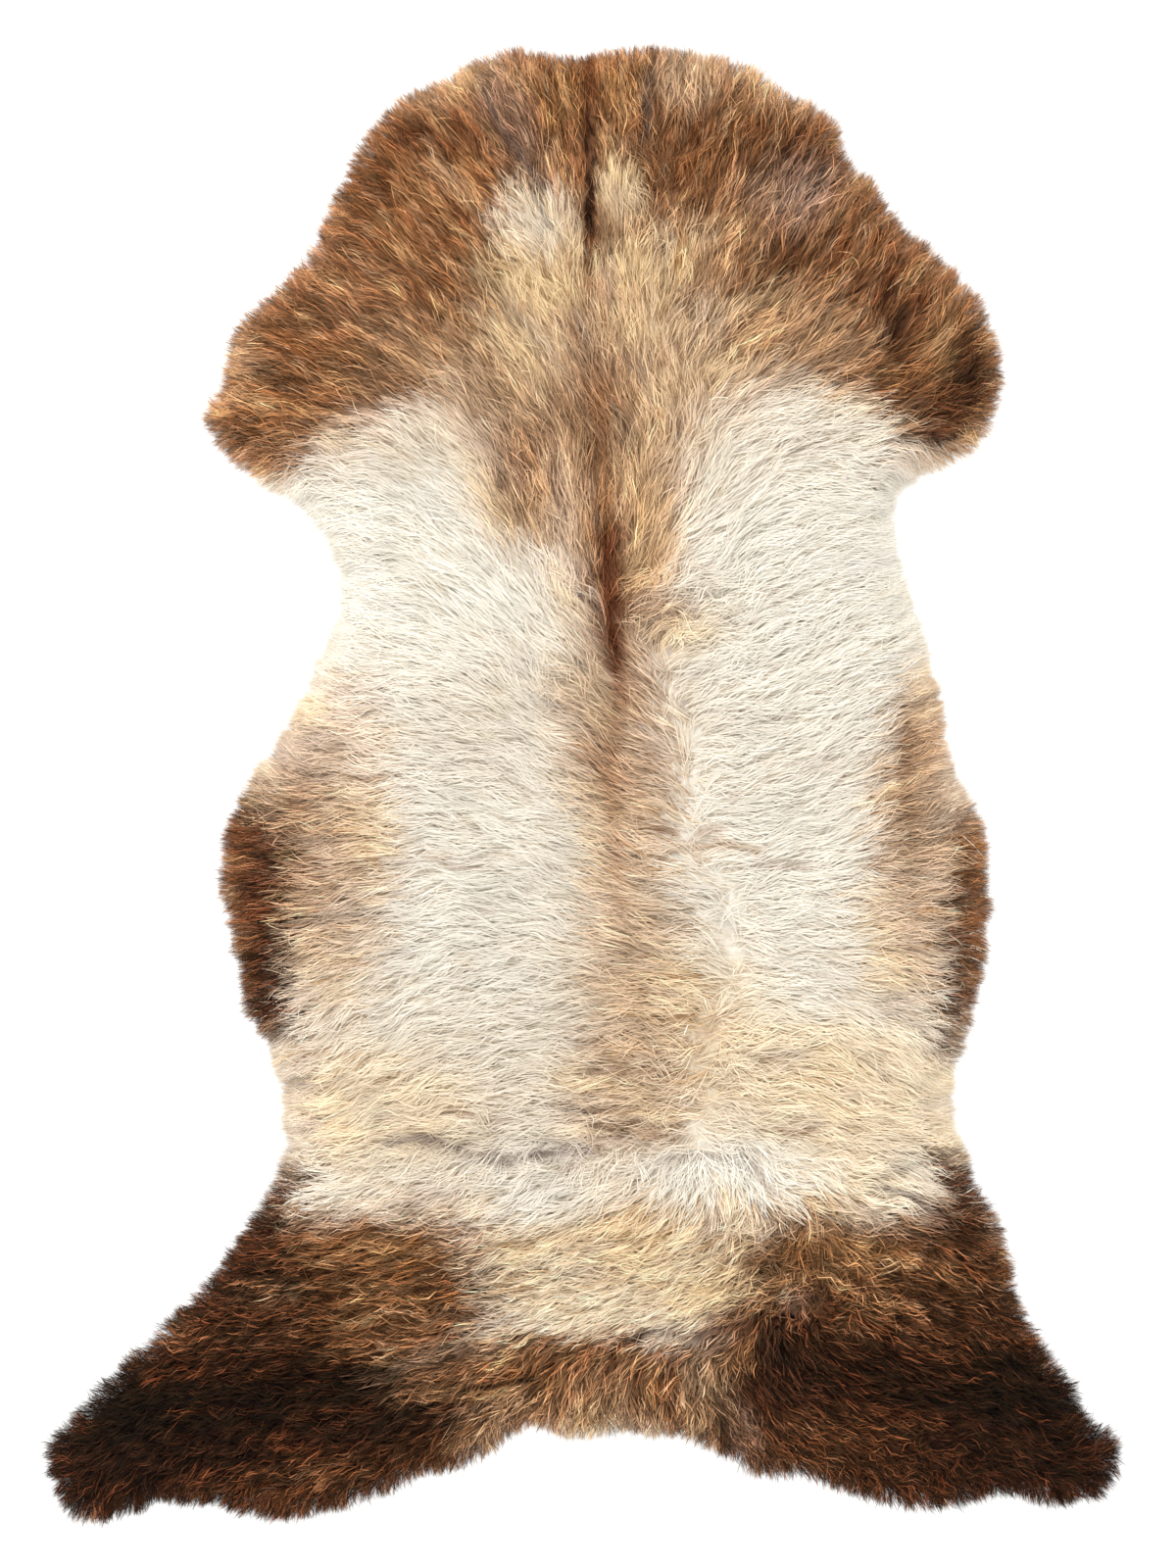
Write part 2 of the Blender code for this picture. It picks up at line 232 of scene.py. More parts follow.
# Wool colours as the display shows them, red, green and blue out of 255
tones = {
    "ivory": (246, 242, 232), "cream": (239, 230, 215), "honey": (233, 209, 166), "gold": (216, 180, 130),
    "beige": (213, 190, 159), "tan": (192, 157, 121), "fawn": (148, 99, 62), "chestnut": (119, 73, 43),
    "ginger": (126, 71, 43), "umber": (84, 46, 28), "sable": (48, 25, 17), "black": (12, 6, 4),
    # The lilac tone is a painted sheen on the brown wool, and painted shade where it lies in creases and
    # between curls
    "lilacSheenAndShade": (168, 150, 142), "slate": (84, 76, 76), "olive": (142, 95, 52), "smoke": (205, 190, 178),
    "hide": (214, 190, 158),
}

# Markings laid over cream in this order: tone, cover, middle across and up (mm), half length and half
# width (mm), turn (degrees), softness of the edge
# The lilac marks paint a sheen on the brown wool
markings = (
    # Cream body, its whiter and warmer clouds
    ("ivory", 0.8, -127, 183, 91, 99, 0, 0.5), ("ivory", 0.75, 192, 153, 91, 114, 0, 0.5),
    ("ivory", 0.55, -111, -75, 83, 99, 0, 0.6), ("ivory", 0.5, 139, -60, 76, 106, 0, 0.6),
    ("honey", 0.45, -172, -249, 91, 45, 0, 0.6), ("honey", 0.5, 215, -241, 83, 53, 0, 0.6),
    ("honey", 0.45, 93, -196, 61, 61, 0, 0.6), ("smoke", 0.5, -202, 54, 45, 30, 60, 0.6),
    ("smoke", 0.5, -225, -249, 15, 53, 0, 0.6),
    # Neck and shoulders
    ("fawn", 0.97, 2, 517, 250, 152, 0, 0.2), ("fawn", 0.97, -168, 395, 167, 96, 38, 0.22),
    ("fawn", 0.97, 199, 413, 174, 91, -38, 0.22), ("fawn", 0.95, -252, 312, 76, 50, 12, 0.3),
    ("fawn", 0.93, -254, 265, 36, 32, -30, 0.35), ("fawn", 0.96, 287, 316, 55, 62, 0, 0.3),
    ("cream", 0.9, 192, 276, 68, 21, 0, 0.45), ("tan", 0.5, 277, 251, 30, 9, 15, 0.6),
    ("tan", 0.72, 2, 327, 129, 64, 0, 0.5), ("tan", 0.7, -47, 266, 45, 72, -5, 0.5),
    ("tan", 0.72, 29, 251, 49, 87, 0, 0.6), ("tan", 0.6, -96, 327, 61, 30, -20, 0.6),
    ("tan", 0.75, 154, 346, 83, 33, 5, 0.5), ("tan", 0.55, -104, 547, 45, 15, 25, 0.6),
    ("tan", 0.65, 139, 551, 45, 17, -25, 0.6), ("tan", 0.65, -269, 333, 13, 32, 0, 0.7),
    ("tan", 0.45, -108, 471, 30, 9, -40, 0.7), ("beige", 0.5, 78, 551, 29, 24, 0, 0.6),
    ("lilacSheenAndShade", 0.3, -57, 517, 23, 42, 20, 0.6), ("lilacSheenAndShade", 0.25, 146, 464, 30, 23, 0, 0.6),
    ("olive", 0.85, -17, 539, 24, 34, 0, 0.5), ("olive", 0.8, 30, 547, 24, 29, 0, 0.5),
    ("chestnut", 0.85, -122, 506, 50, 18, 0, 0.5), ("chestnut", 0.75, -168, 464, 27, 20, 60, 0.6),
    ("chestnut", 0.65, -102, 435, 33, 14, 15, 0.6), ("chestnut", 0.55, -149, 409, 36, 12, 10, 0.7),
    ("chestnut", 0.48, -110, 376, 30, 18, 20, 0.7), ("chestnut", 0.48, -216, 326, 39, 18, 20, 0.7),
    ("tan", 0.35, -166, 316, 27, 12, 10, 0.7), ("fawn", 0.4, 128, 348, 21, 17, 0, 0.7),
    ("chestnut", 0.5, -231, 371, 26, 11, 40, 0.7), ("chestnut", 0.5, -271, 277, 23, 20, -30, 0.6),
    ("umber", 0.4, -134, 501, 20, 9, 0, 0.7), ("chestnut", 0.8, 78, 515, 26, 14, 0, 0.6),
    ("chestnut", 0.85, 154, 495, 53, 26, -10, 0.55), ("chestnut", 0.85, 169, 418, 47, 17, -5, 0.55),
    ("chestnut", 0.88, 230, 392, 53, 30, -35, 0.55), ("umber", 0.45, 173, 482, 26, 20, -30, 0.6),
    ("umber", 0.35, 154, 418, 23, 11, 0, 0.7), ("umber", 0.45, 249, 376, 35, 17, -45, 0.6),
    ("lilacSheenAndShade", 0.25, 188, 464, 20, 30, -40, 0.6), ("honey", 0.85, 28, 460, 20, 27, 15, 0.5),
    ("tan", 0.7, 78, 417, 53, 36, 0, 0.6), ("honey", 0.75, 42, 404, 39, 20, 0, 0.6),
    ("honey", 0.65, 44, 359, 35, 20, 0, 0.6), ("honey", 0.4, 87, 426, 33, 9, 15, 0.6),
    ("honey", 0.35, 124, 376, 45, 11, 15, 0.7), ("honey", 0.85, -36, 421, 36, 41, -8, 0.6),
    ("honey", 0.75, -43, 389, 44, 17, -15, 0.6), ("honey", 0.55, -49, 346, 41, 17, -30, 0.7),
    ("honey", 0.45, 78, 316, 45, 14, 20, 0.7), ("cream", 0.8, -39, 438, 29, 26, 5, 0.7),
    ("lilacSheenAndShade", 0.3, 163, 462, 26, 30, 0, 0.7), ("chestnut", 0.4, 78, 464, 20, 14, 0, 0.8),
    ("sable", 0.86, 299, 316, 18, 36, 5, 0.45), ("umber", 0.8, 277, 280, 26, 18, 0, 0.5),
    ("umber", 0.65, 249, 346, 9, 34, 25, 0.6), ("gold", 0.3, 281, 346, 9, 23, 10, 0.8),
    # Spine
    ("fawn", 0.65, 10, 297, 26, 53, 0, 0.8), ("fawn", 0.65, -47, 247, 23, 42, 10, 0.7),
    ("gold", 0.4, -51, 210, 30, 15, 0, 0.7), ("beige", 0.25, -149, 266, 68, 27, 5, 0.7),
    ("tan", 0.8, 28, 183, 42, 99, 0, 0.6), ("gold", 0.6, 48, 198, 27, 45, 0, 0.8),
    ("chestnut", 0.55, 20, 160, 17, 91, 3, 0.8), ("ginger", 0.4, 19, 183, 17, 45, 0, 0.7),
    ("tan", 0.75, 23, 31, 39, 68, 8, 0.7), ("tan", 0.55, 27, -75, 29, 83, 3, 0.7),
    ("beige", 0.6, 33, -158, 38, 99, 0, 0.7), ("tan", 0.35, 33, -154, 33, 53, 0, 0.8),
    ("tan", 0.45, 23, -238, 47, 42, 0, 0.7), ("fawn", 0.4, 2, 24, 20, 30, 20, 0.8),
    ("beige", 0.5, -5, 77, 27, 30, 0, 0.7), ("honey", 0.45, 82, 122, 38, 15, 0, 0.7),
    ("fawn", 0.45, 63, 134, 26, 12, 0, 0.8),
    # Flanks' edges
    ("tan", 0.72, -211, -60, 53, 106, 0, 0.6), ("fawn", 0.55, -234, -44, 20, 68, 0, 0.7),
    ("umber", 0.98, -269, -78, 32, 94, 6, 0.4), ("umber", 0.98, -258, -154, 22, 55, 12, 0.4),
    ("sable", 0.8, -255, -120, 9, 59, 8, 0.6), ("fawn", 0.55, -279, -67, 9, 99, 4, 0.6),
    ("ginger", 0.5, -269, -60, 9, 76, 4, 0.6), ("tan", 0.8, 264, 24, 26, 72, -12, 0.5),
    ("tan", 0.7, 268, -75, 36, 91, -3, 0.6), ("umber", 0.93, 307, -109, 17, 76, -3, 0.42),
    ("umber", 0.85, 294, -185, 10, 36, -17, 0.5), ("ginger", 0.5, 310, -94, 7, 61, -2, 0.6),
    ("fawn", 0.68, 305, -37, 18, 32, -8, 0.6), ("fawn", 0.3, 264, 30, 12, 30, -12, 0.7),
    ("fawn", 0.7, 313, -97, 8, 76, -2, 0.6),
    # Hind legs
    ("fawn", 0.97, -199, -397, 120, 61, 0, 0.24), ("fawn", 0.98, -339, -476, 174, 144, 35, 0.14),
    ("fawn", 0.97, 226, -402, 114, 62, 0, 0.3), ("tan", 0.62, 107, -379, 38, 33, 0, 0.5),
    ("fawn", 0.93, 183, -375, 56, 36, -4, 0.32), ("fawn", 0.55, 130, -392, 20, 27, 0, 0.7),
    ("smoke", 0.35, 95, -402, 18, 12, 0, 0.7), ("fawn", 0.98, 340, -484, 174, 129, -35, 0.14),
    ("fawn", 0.98, -255, -575, 197, 83, 0, 0.14), ("fawn", 0.98, 275, -575, 212, 91, 0, 0.14),
    ("fawn", 0.9, -77, -484, 76, 47, 20, 0.4), ("fawn", 0.9, 116, -488, 68, 50, -20, 0.4),
    ("honey", 0.8, 20, -376, 100, 45, 0, 0.4), ("honey", 0.45, 192, -313, 61, 20, 0, 0.7),
    ("cream", 0.5, 7, -379, 73, 33, 0, 0.5), ("chestnut", 0.25, -110, -412, 30, 23, 0, 0.6),
    ("tan", 0.45, -51, -439, 41, 12, 0, 0.7), ("gold", 0.35, 21, -344, 38, 34, 0, 0.7),
    ("gold", 0.12, -28, -370, 53, 30, 0, 0.7), ("tan", 0.4, -127, -331, 68, 17, 0, 0.8),
    ("tan", 0.4, 154, -332, 68, 15, 0, 0.8), ("olive", 0.6, -149, -354, 68, 15, 0, 0.6),
    ("chestnut", 0.36, -202, -408, 95, 30, 0, 0.6), ("olive", 0.45, -130, -372, 50, 33, 0, 0.8),
    ("fawn", 0.4, -199, -376, 45, 26, 0, 0.7), ("umber", 0.97, -246, -325, 39, 12, 59, 0.38),
    ("umber", 0.92, -271, -370, 45, 26, 50, 0.4), ("umber", 0.5, -134, -385, 45, 11, 0, 0.7),
    ("umber", 0.88, -327, -461, 152, 76, 38, 0.28), ("umber", 0.96, -259, -522, 178, 72, 3, 0.3),
    ("sable", 0.82, -252, -484, 155, 44, 3, 0.4), ("sable", 0.55, -301, -529, 114, 30, 0, 0.6),
    ("black", 0.58, -236, -470, 114, 23, 3, 0.55), ("black", 0.85, -365, -503, 64, 47, 32, 0.5),
    ("sable", 0.8, -377, -545, 61, 38, 0, 0.5), ("chestnut", 0.5, -202, -537, 95, 21, 8, 0.6),
    ("tan", 0.15, -248, -392, 26, 9, 0, 0.8), ("olive", 0.7, 188, -361, 61, 20, 0, 0.6),
    ("gold", 0.25, 192, -370, 53, 18, 0, 0.8), ("umber", 0.5, 154, -369, 26, 6, 4, 0.7),
    ("umber", 0.5, 233, -382, 33, 8, 0, 0.7), ("umber", 0.42, 177, -366, 38, 11, 0, 0.7),
    ("umber", 0.97, 305, -323, 45, 20, -66, 0.4), ("chestnut", 0.6, 283, -340, 30, 15, -30, 0.6),
    ("umber", 0.7, 294, -382, 53, 45, -30, 0.5), ("umber", 0.66, 260, -427, 114, 35, -15, 0.5),
    ("umber", 0.85, 345, -432, 45, 20, -56, 0.5), ("umber", 0.97, 245, -507, 182, 72, -8, 0.3),
    ("umber", 0.92, 374, -522, 76, 68, 0, 0.4), ("sable", 0.88, 135, -429, 44, 23, 0, 0.5),
    ("sable", 0.66, 264, -470, 144, 38, -8, 0.5), ("black", 0.45, 233, -461, 83, 18, -8, 0.6),
    ("chestnut", 0.45, 230, -501, 83, 17, -6, 0.7), ("black", 0.9, 343, -475, 50, 30, -25, 0.5),
    ("lilacSheenAndShade", 0.35, 160, -398, 12, 11, 0, 0.7), ("ginger", 0.45, 143, -416, 38, 7, 5, 0.7),
    ("lilacSheenAndShade", 0.25, 127, -505, 12, 20, 20, 0.7), ("sable", 0.6, 305, -529, 106, 26, 0, 0.6),
    ("sable", 0.55, 393, -520, 38, 38, 0, 0.6), ("chestnut", 0.4, 192, -529, 83, 17, -10, 0.6),
    # Tail
    ("fawn", 0.93, 14, -467, 74, 42, 0, 0.4), ("fawn", 0.8, -81, -450, 68, 20, 10, 0.6),
    ("fawn", 0.65, 108, -431, 30, 18, -30, 0.7), ("tan", 0.45, 17, -488, 45, 14, 0, 0.6),
    ("tan", 0.7, 90, -469, 20, 35, 0, 0.6), ("lilacSheenAndShade", 0.35, 101, -429, 15, 8, 0, 0.8),
    ("chestnut", 0.55, 59, -478, 23, 18, 0, 0.7), ("tan", 0.5, -74, -492, 34, 14, 35, 0.7),
    ("chestnut", 0.7, 14, -439, 33, 14, 0, 0.7), ("ivory", 0.95, 120, -305, 72, 21, 0, 0.6),
    ("ivory", 0.6, -39, -325, 53, 15, 0, 0.7),
)


# Lines where the wool parts, folds or curls, their dark tones partly the wool's own and partly painted shade
# in the grooves: tone, cover, depth and half width (mm), and the points that the line runs through, across
# and up (mm)
seams = (
    # Groove down the neck, its dark tones painted shade in the groove
    ("chestnut", 0.85, 7, 6, ((5, 561), (5, 517), (5, 471), (5, 422))),
    ("chestnut", 0.5, 4, 5, ((5, 422), (3, 386))),
    ("sable", 0.9, 3, 4.4, ((5, 523), (6, 467), (5, 429))),
    # Spine
    ("ginger", 0.8, 4, 9.5, ((19, 198), (20, 183), (20, 153), (23, 122), (26, 77))),
    ("fawn", 0.55, 3, 8.5, ((11, 304), (14, 266), (18, 198))),
    ("umber", 0.5, 4, 5.6, ((20, 189), (20, 175), (18, 156))),
    ("umber", 0.68, 4, 5, ((23, 142), (20, 122), (25, 110), (26, 85))),
    ("fawn", 0.5, 2, 7, ((27, 62), (20, 1), (25, -44), (27, -90))),
    # Slate hairs on the neck and shoulder
    ("slate", 0.75, 3, 1.8, ((-78, 538), (-64, 509), (-43, 477), (-31, 459))),
    ("slate", 0.65, 3, 1.5, ((-42, 464), (-34, 447), (-27, 430))),
    ("slate", 0.75, 3, 2, ((49, 554), (51, 528), (48, 500))),
    ("slate", 0.45, 3, 3, ((189, 486), (181, 464), (166, 441))),
    # Folds at the right shoulder and flank, their dark tones painted shade in the folds
    ("umber", 0.55, 4, 3, ((234, 380), (243, 346), (254, 308), (265, 285))),
    ("chestnut", 0.75, 6, 3, ((252, 43), (249, 9), (252, -29), (260, -67))),
    # Crease over the rump and its curls, its dark and lilac lines painted shade in the crease and between the
    # curls
    ("lilacSheenAndShade", 0.6, 7, 4.5, ((-149, -276), (-124, -272), (-96, -281), (-61, -290), (-28, -284), (10, -281))),
    ("lilacSheenAndShade", 0.55, 6, 3.5, ((66, -288), (96, -285), (130, -293))),
    ("umber", 0.75, 3, 1.9, ((-130, -269), (-122, -272), (-115, -279))),
    ("umber", 0.65, 3, 1.6, ((-136, -277), (-123, -278))),
    ("slate", 0.55, 3, 1.4, ((-108, -266), (-102, -274), (-99, -284))),
    ("slate", 0.5, 3, 1.4, ((-96, -276), (-86, -273))),
    ("slate", 0.55, 3, 1.3, ((-95, -292), (-87, -291))),
    ("slate", 0.65, 3, 1.8, ((-72, -279), (-66, -285), (-64, -294))),
    ("slate", 0.6, 3, 1.6, ((-58, -284), (-55, -294))),
    ("umber", 0.8, 3, 2.2, ((-37, -286), (-31, -282))),
    ("fawn", 0.5, 3, 1.5, ((-27, -288), (-16, -295), (-5, -298))),
    ("lilacSheenAndShade", 0.65, 3, 1.6, ((-28, -273), (-13, -276), (2, -272), (33, -270))),
    ("fawn", 0.6, 3, 1.6, ((-75, -269), (-63, -267))),
    # Dark hairs above the crease
    ("umber", 0.65, 3, 1.7, ((-14, -250), (-4, -252), (13, -250))),
    ("umber", 0.75, 3, 1.9, ((2, -261), (13, -263), (28, -264))),
    ("fawn", 0.5, 3, 1.5, ((-102, -249), (-86, -253))),
    ("fawn", 0.5, 3, 1.4, ((-67, -257), (-58, -258))),
    # Crease over the rump and its curls, far end, painted shade in the crease
    ("fawn", 0.6, 4, 2.5, ((149, -266), (166, -270), (180, -263))),
    # Gaps beside the tail, painted shade
    ("black", 0.75, 3, 2.5, ((-96, -466), (-69, -463), (-37, -457))),
    ("umber", 0.6, 3, 2.2, ((34, -429), (54, -420), (81, -425), (121, -417))),
    # Tufts of the loin
    ("slate", 0.7, 3, 2.6, ((-2, 148), (4, 141), (14, 135))),
    ("ivory", 0.75, 0, 1.6, ((5, 151), (12, 143))),
    ("slate", 0.7, 3, 2.6, ((-7, 95), (2, 92))),
    ("slate", 0.55, 3, 1.4, ((-17, 89), (-18, 81))),
    ("lilacSheenAndShade", 0.6, 3, 2, ((-31, 65), (-19, 60), (-7, 63))),
    # Curls and hollows of the loin, back and right foreleg, their dark lines painted shade in the hollows and
    # between the curls
    ("umber", 0.65, 3, 1.5, ((31, 144), (42, 145))),
    ("umber", 0.65, 3, 1.6, ((28, 131), (37, 135), (46, 135))),
    ("umber", 0.7, 3, 1.4, ((69, 132), (77, 135))),
    ("lilacSheenAndShade", 0.55, 3, 3, ((80, 148), (83, 138), (88, 128))),
    ("slate", 0.45, 3, 1.4, ((93, 146), (108, 147))),
    ("umber", 0.55, 3, 1.4, ((33, 83), (42, 82), (53, 79))),
    ("chestnut", 0.65, 3, 1.6, ((30, 74), (33, 64), (42, 60))),
    ("chestnut", 0.6, 3, 1.5, ((58, 71), (66, 65))),
    ("chestnut", 0.6, 3, 1.6, ((74, 61), (83, 55))),
    ("sable", 0.8, 4, 3, ((260, 282), (277, 265), (294, 274))),
    # Crimps of the back and flanks, their darker lines painted shade between the crimps
    ("fawn", 0.65, 3, 1.6, ((49, -33), (78, -36), (105, -35))),
    ("tan", 0.7, 3, 1.8, ((77, -49), (114, -46), (136, -50))),
    ("fawn", 0.5, 3, 1.5, ((134, -55), (154, -62), (177, -63))),
    ("fawn", 0.6, 3, 1.6, ((77, 22), (87, 16), (95, 6))),
    ("fawn", 0.7, 3, 1.6, ((72, -178), (98, -179), (117, -175))),
    ("tan", 0.7, 3, 1.6, ((74, -197), (93, -190), (111, -190))),
    ("chestnut", 0.5, 3, 1.6, ((2, -219), (33, -223), (49, -220))),
    ("fawn", 0.55, 3, 1.5, ((-111, -56), (-99, -63), (-87, -64))),
    # Hairs over the crease
    ("chestnut", 0.6, 3, 1.8, ((33, -257), (54, -262), (77, -263))),
    ("fawn", 0.6, 3, 1.6, ((33, -266), (60, -269), (81, -276))),
    # Right edge of the rump
    ("lilacSheenAndShade", 0.6, 3, 2.2, ((125, -288), (137, -299), (144, -313))),
    ("slate", 0.65, 4, 1.8, ((230, -301), (248, -296), (265, -291))),
    ("slate", 0.6, 4, 1.8, ((228, -309), (246, -313), (265, -325))),
)


def linear(tone):
    # A display colour as the light that it gives back
    part = np.array(tones[tone]) / 255
    return np.where(part <= 0.04045, part / 12.92, ((part + 0.055) / 1.055) ** 2.4)


def nearLine(x, y, line, halfWidth):
    # 1 on the line, and nearly 0 at twice its half width
    least = np.full(x.shape, 1e9)
    for (ax, ay), (bx, by) in zip(line, line[1:]):
        along = ((x - ax) * (bx - ax) + (y - ay) * (by - ay)) / ((bx - ax) ** 2 + (by - ay) ** 2)
        along = np.clip(along, 0, 1)
        least = np.minimum(least, np.hypot(x - ax - along * (bx - ax), y - ay - along * (by - ay)))
    return np.exp(-(least / halfWidth) ** 2)


# The broad markings' edges wander, as they do on a grown fleece: swings (mm) and the sizes of the swings
wander = {"broad": 2.2, "broadSize": 50 * mm, "fine": 2.8, "fineSize": 20 * mm, "narrow": 12}


def wandered(x, y, value, seed):
    broad = wander["broad"] * drift(x, y, wander["broadSize"], seed)
    return value + (broad + wander["fine"] * drift(x, y, wander["fineSize"], seed + 1)) * mm


def marked(x, y):
    movedX, movedY = wandered(x, y, x, 21), wandered(x, y, y, 23)
    colour = np.zeros(x.shape + (3,)) + linear("cream")
    for tone, cover, across, up, halfLong, halfWide, turn, soft in markings:
        narrow = min(halfLong, halfWide) < wander["narrow"]
        dx, dy = (x if narrow else movedX) / mm - across, (y if narrow else movedY) / mm - up
        c, s = math.cos(math.radians(turn)), math.sin(math.radians(turn))
        far = np.hypot((dx * c + dy * s) / halfLong, (dy * c - dx * s) / halfWide)
        share = np.clip((1 + soft - far) / (2 * soft), 0, 1)
        share = cover * share * share * (3 - 2 * share)
        colour += (linear(tone) - colour) * share[..., None]
    return colour


lineValues = {
    "narrow": 2.3,              # mm: lines with a smaller half width colour whole strands
    "reach": 1.3,               # of the half width, for whole strands
    "ragged": 0.3,              # change of the half width along a line
    "raggedFrom": 0.5,
    "raggedTo": 1.7,
    "raggedSize": 30 * mm,
    "sway": 1.2 * mm,
    "swaySize": 20 * mm,
    "patchy": 0.6,              # how far single strands escape the tone
    "grooveLeast": 3.5,         # mm: no groove has a smaller half width
    "deepest": 0.5,             # of the wool's height, as much as a groove leaves
}


def seamed(colour, x, y, light=1.0, patchy=None, least=0.0):
    # Lines of at least the given half width, each with a ragged edge
    use = lineValues
    ragged = 1 + use["ragged"] * drift(x, y, use["raggedSize"], 41)
    ragged = np.clip(ragged, use["raggedFrom"], use["raggedTo"])
    x = x + use["sway"] * drift(x, y, use["swaySize"], 42)
    for tone, cover, _, halfWidth, line in seams:
        if halfWidth < least:
            continue
        share = cover * nearLine(x / mm, y / mm, line, halfWidth * ragged)
        if patchy is not None:
            share = np.clip(share * (1 + use["patchy"]) - use["patchy"] * patchy, 0, 1)
        colour = colour + (linear(tone) * light - colour) * share[..., None]
    return colour


def streaky(colour, x, y):
    # The finest dark and light hairs: strands near a narrow line take its tone all along
    for tone, cover, _, halfWidth, line in seams:
        if halfWidth < lineValues["narrow"]:
            share = cover * nearLine(x / mm, y / mm, line, halfWidth * lineValues["reach"])
            colour = colour + (linear(tone) - colour) * share[..., None]
    return colour


for _, _, depth, halfWidth, line in seams:
    wide = max(halfWidth, lineValues["grooveLeast"])
    dip = depth * mm * nearLine(land.gridX / mm, land.gridY / mm, line, wide)
    land.height = np.maximum(land.height - dip, lineValues["deepest"] * land.height)
print("markings and lines laid,", len(markings), "and", len(seams))


# Small class for the sums in a material: a socket that can be added to and multiplied
class Sum:
    def __init__(self, look, socket):
        self.look, self.socket = look, socket

    def maths(self, kind, first, second):
        return self.look.node("ShaderNodeMath", {"operation": kind}, {0: first, 1: second})

    def __add__(self, other):
        return self.maths("ADD", self, other)

    def __radd__(self, other):
        return self.maths("ADD", other, self)

    def __sub__(self, other):
        return self.maths("SUBTRACT", self, other)

    def __rsub__(self, other):
        return self.maths("SUBTRACT", other, self)

    def __mul__(self, other):
        return self.maths("MULTIPLY", self, other)

    def __rmul__(self, other):
        return self.maths("MULTIPLY", other, self)


class Look:
    def __init__(self, name):
        self.material = bpy.data.materials.new(name)
        self.material.use_nodes = True
        self.tree = self.material.node_tree
        self.tree.nodes.clear()
        self.shader = self.tree.nodes.new("ShaderNodeBsdfPrincipled")
        output = self.tree.nodes.new("ShaderNodeOutputMaterial")
        self.tree.links.new(self.shader.outputs[0], output.inputs["Surface"])

    def feed(self, socket, value):
        if isinstance(value, Sum):
            self.tree.links.new(value.socket, socket)
        else:
            socket.default_value = value

    def node(self, kind, settings, inputs, output=0):
        made = self.tree.nodes.new(kind)
        for name, value in settings.items():
            setattr(made, name, value)
        for name, value in inputs.items():
            self.feed(made.inputs[name], value)
        return Sum(self, made.outputs[output])

    def tint(self, factor, first, second, kind="MIX"):
        settings = {"data_type": "RGBA", "blend_type": kind}
        return self.node("ShaderNodeMix", settings, {"Factor": factor, "A": first, "B": second}, "Result")

    def noise(self, where, scale, detail=2.0, roughness=0.5):
        # Chance pattern from 0 to 1, about 0.5
        inputs = {"Vector": where, "Scale": scale, "Detail": detail, "Roughness": roughness}
        return self.node("ShaderNodeTexNoise", {}, inputs, "Fac")

    def scaled(self, where, factors):
        return self.node("ShaderNodeVectorMath", {"operation": "MULTIPLY"}, {0: where, 1: factors})

    def place(self):
        return self.node("ShaderNodeTexCoord", {}, {}, "Object")

    def bump(self, height, distance, strength):
        inputs = {"Height": height, "Distance": distance, "Strength": strength}
        return self.node("ShaderNodeBump", {}, inputs, "Normal")

    def finish(self, **values):
        for name, value in values.items():
            self.feed(self.shader.inputs[name.replace("_", " ")], value)
        return self.material


def grey(look, value):
    return look.node("ShaderNodeCombineColor", {}, {"Red": value, "Green": value, "Blue": value}, "Color")


def swing(amount, pattern):
    # Turns a pattern about 0.5 into a change about 0
    return amount * (pattern - 0.5)


woolValues = {
    "tiles": 170,               # strands across the unwrapped picture
    "fibreLines": 5.0,          # fine lines across a strand
    "fibreLength": 0.6,
    "fibreDepth": 0.15 * mm,
    "fibreStrength": 0.5,
    "fibreTone": 0.14,          # how far the lines change the tone
    "fleckScale": 420.0,
    "fleckTone": 0.22,
    "cloudScale": 34.0,
    "cloudTone": 0.10,
    "gloss": 0.62,
    "glossChange": 0.2,
    "shine": 0.03,
    "sheen": 0.01,
    "sheenSpread": 0.45,
}


def woolLook(use):
    look = Look("wool")
    tone = look.node("ShaderNodeAttribute", {"attribute_name": "tone"}, {}, "Color")
    strip = look.node("ShaderNodeUVMap", {"uv_map": "OFBake"}, {}, "UV")
    lines = (use["tiles"] * use["fibreLines"], use["tiles"] * use["fibreLength"], 1)
    fibre = look.noise(look.scaled(strip, lines), 1.0, 1.0)
    fleck = look.noise(look.place(), use["fleckScale"])
    cloud = look.noise(look.place(), use["cloudScale"])
    change = swing(use["fleckTone"], fleck) + swing(use["fibreTone"], fibre) + swing(use["cloudTone"], cloud)
    return look.finish(
        Base_Color=look.tint(1.0, tone, grey(look, 1 + change), "MULTIPLY"),
        Roughness=use["gloss"] + swing(use["glossChange"], fibre),
        Normal=look.bump(fibre, use["fibreDepth"], use["fibreStrength"]),
        Specular_IOR_Level=use["shine"],
        Sheen_Weight=use["sheen"],
        Sheen_Roughness=use["sheenSpread"])


underValues = {
    "curlScale": 240.0,
    "curlDepth": 1.6 * mm,
    "curlStrength": 0.9,
    "curlTone": 0.5,
    "shadow": 0.85,             # how much darker it lies than the long wool
    "gloss": 0.90,
    "glossChange": 0.1,
    "shine": 0.2,
    "sheen": 0.05,
    "sheenSpread": 0.5,
}


def underLook(use):
    look = Look("underwool")
    tone = look.node("ShaderNodeAttribute", {"attribute_name": "tone"}, {}, "Color")
    curl = look.noise(look.place(), use["curlScale"], 4.0, 0.6)
    shade = use["shadow"] + swing(use["curlTone"], curl)
    return look.finish(
        Base_Color=look.tint(1.0, tone, grey(look, shade), "MULTIPLY"),
        Roughness=use["gloss"] + swing(use["glossChange"], curl),
        Normal=look.bump(curl, use["curlDepth"], use["curlStrength"]),
        Specular_IOR_Level=use["shine"],
        Sheen_Weight=use["sheen"],
        Sheen_Roughness=use["sheenSpread"])


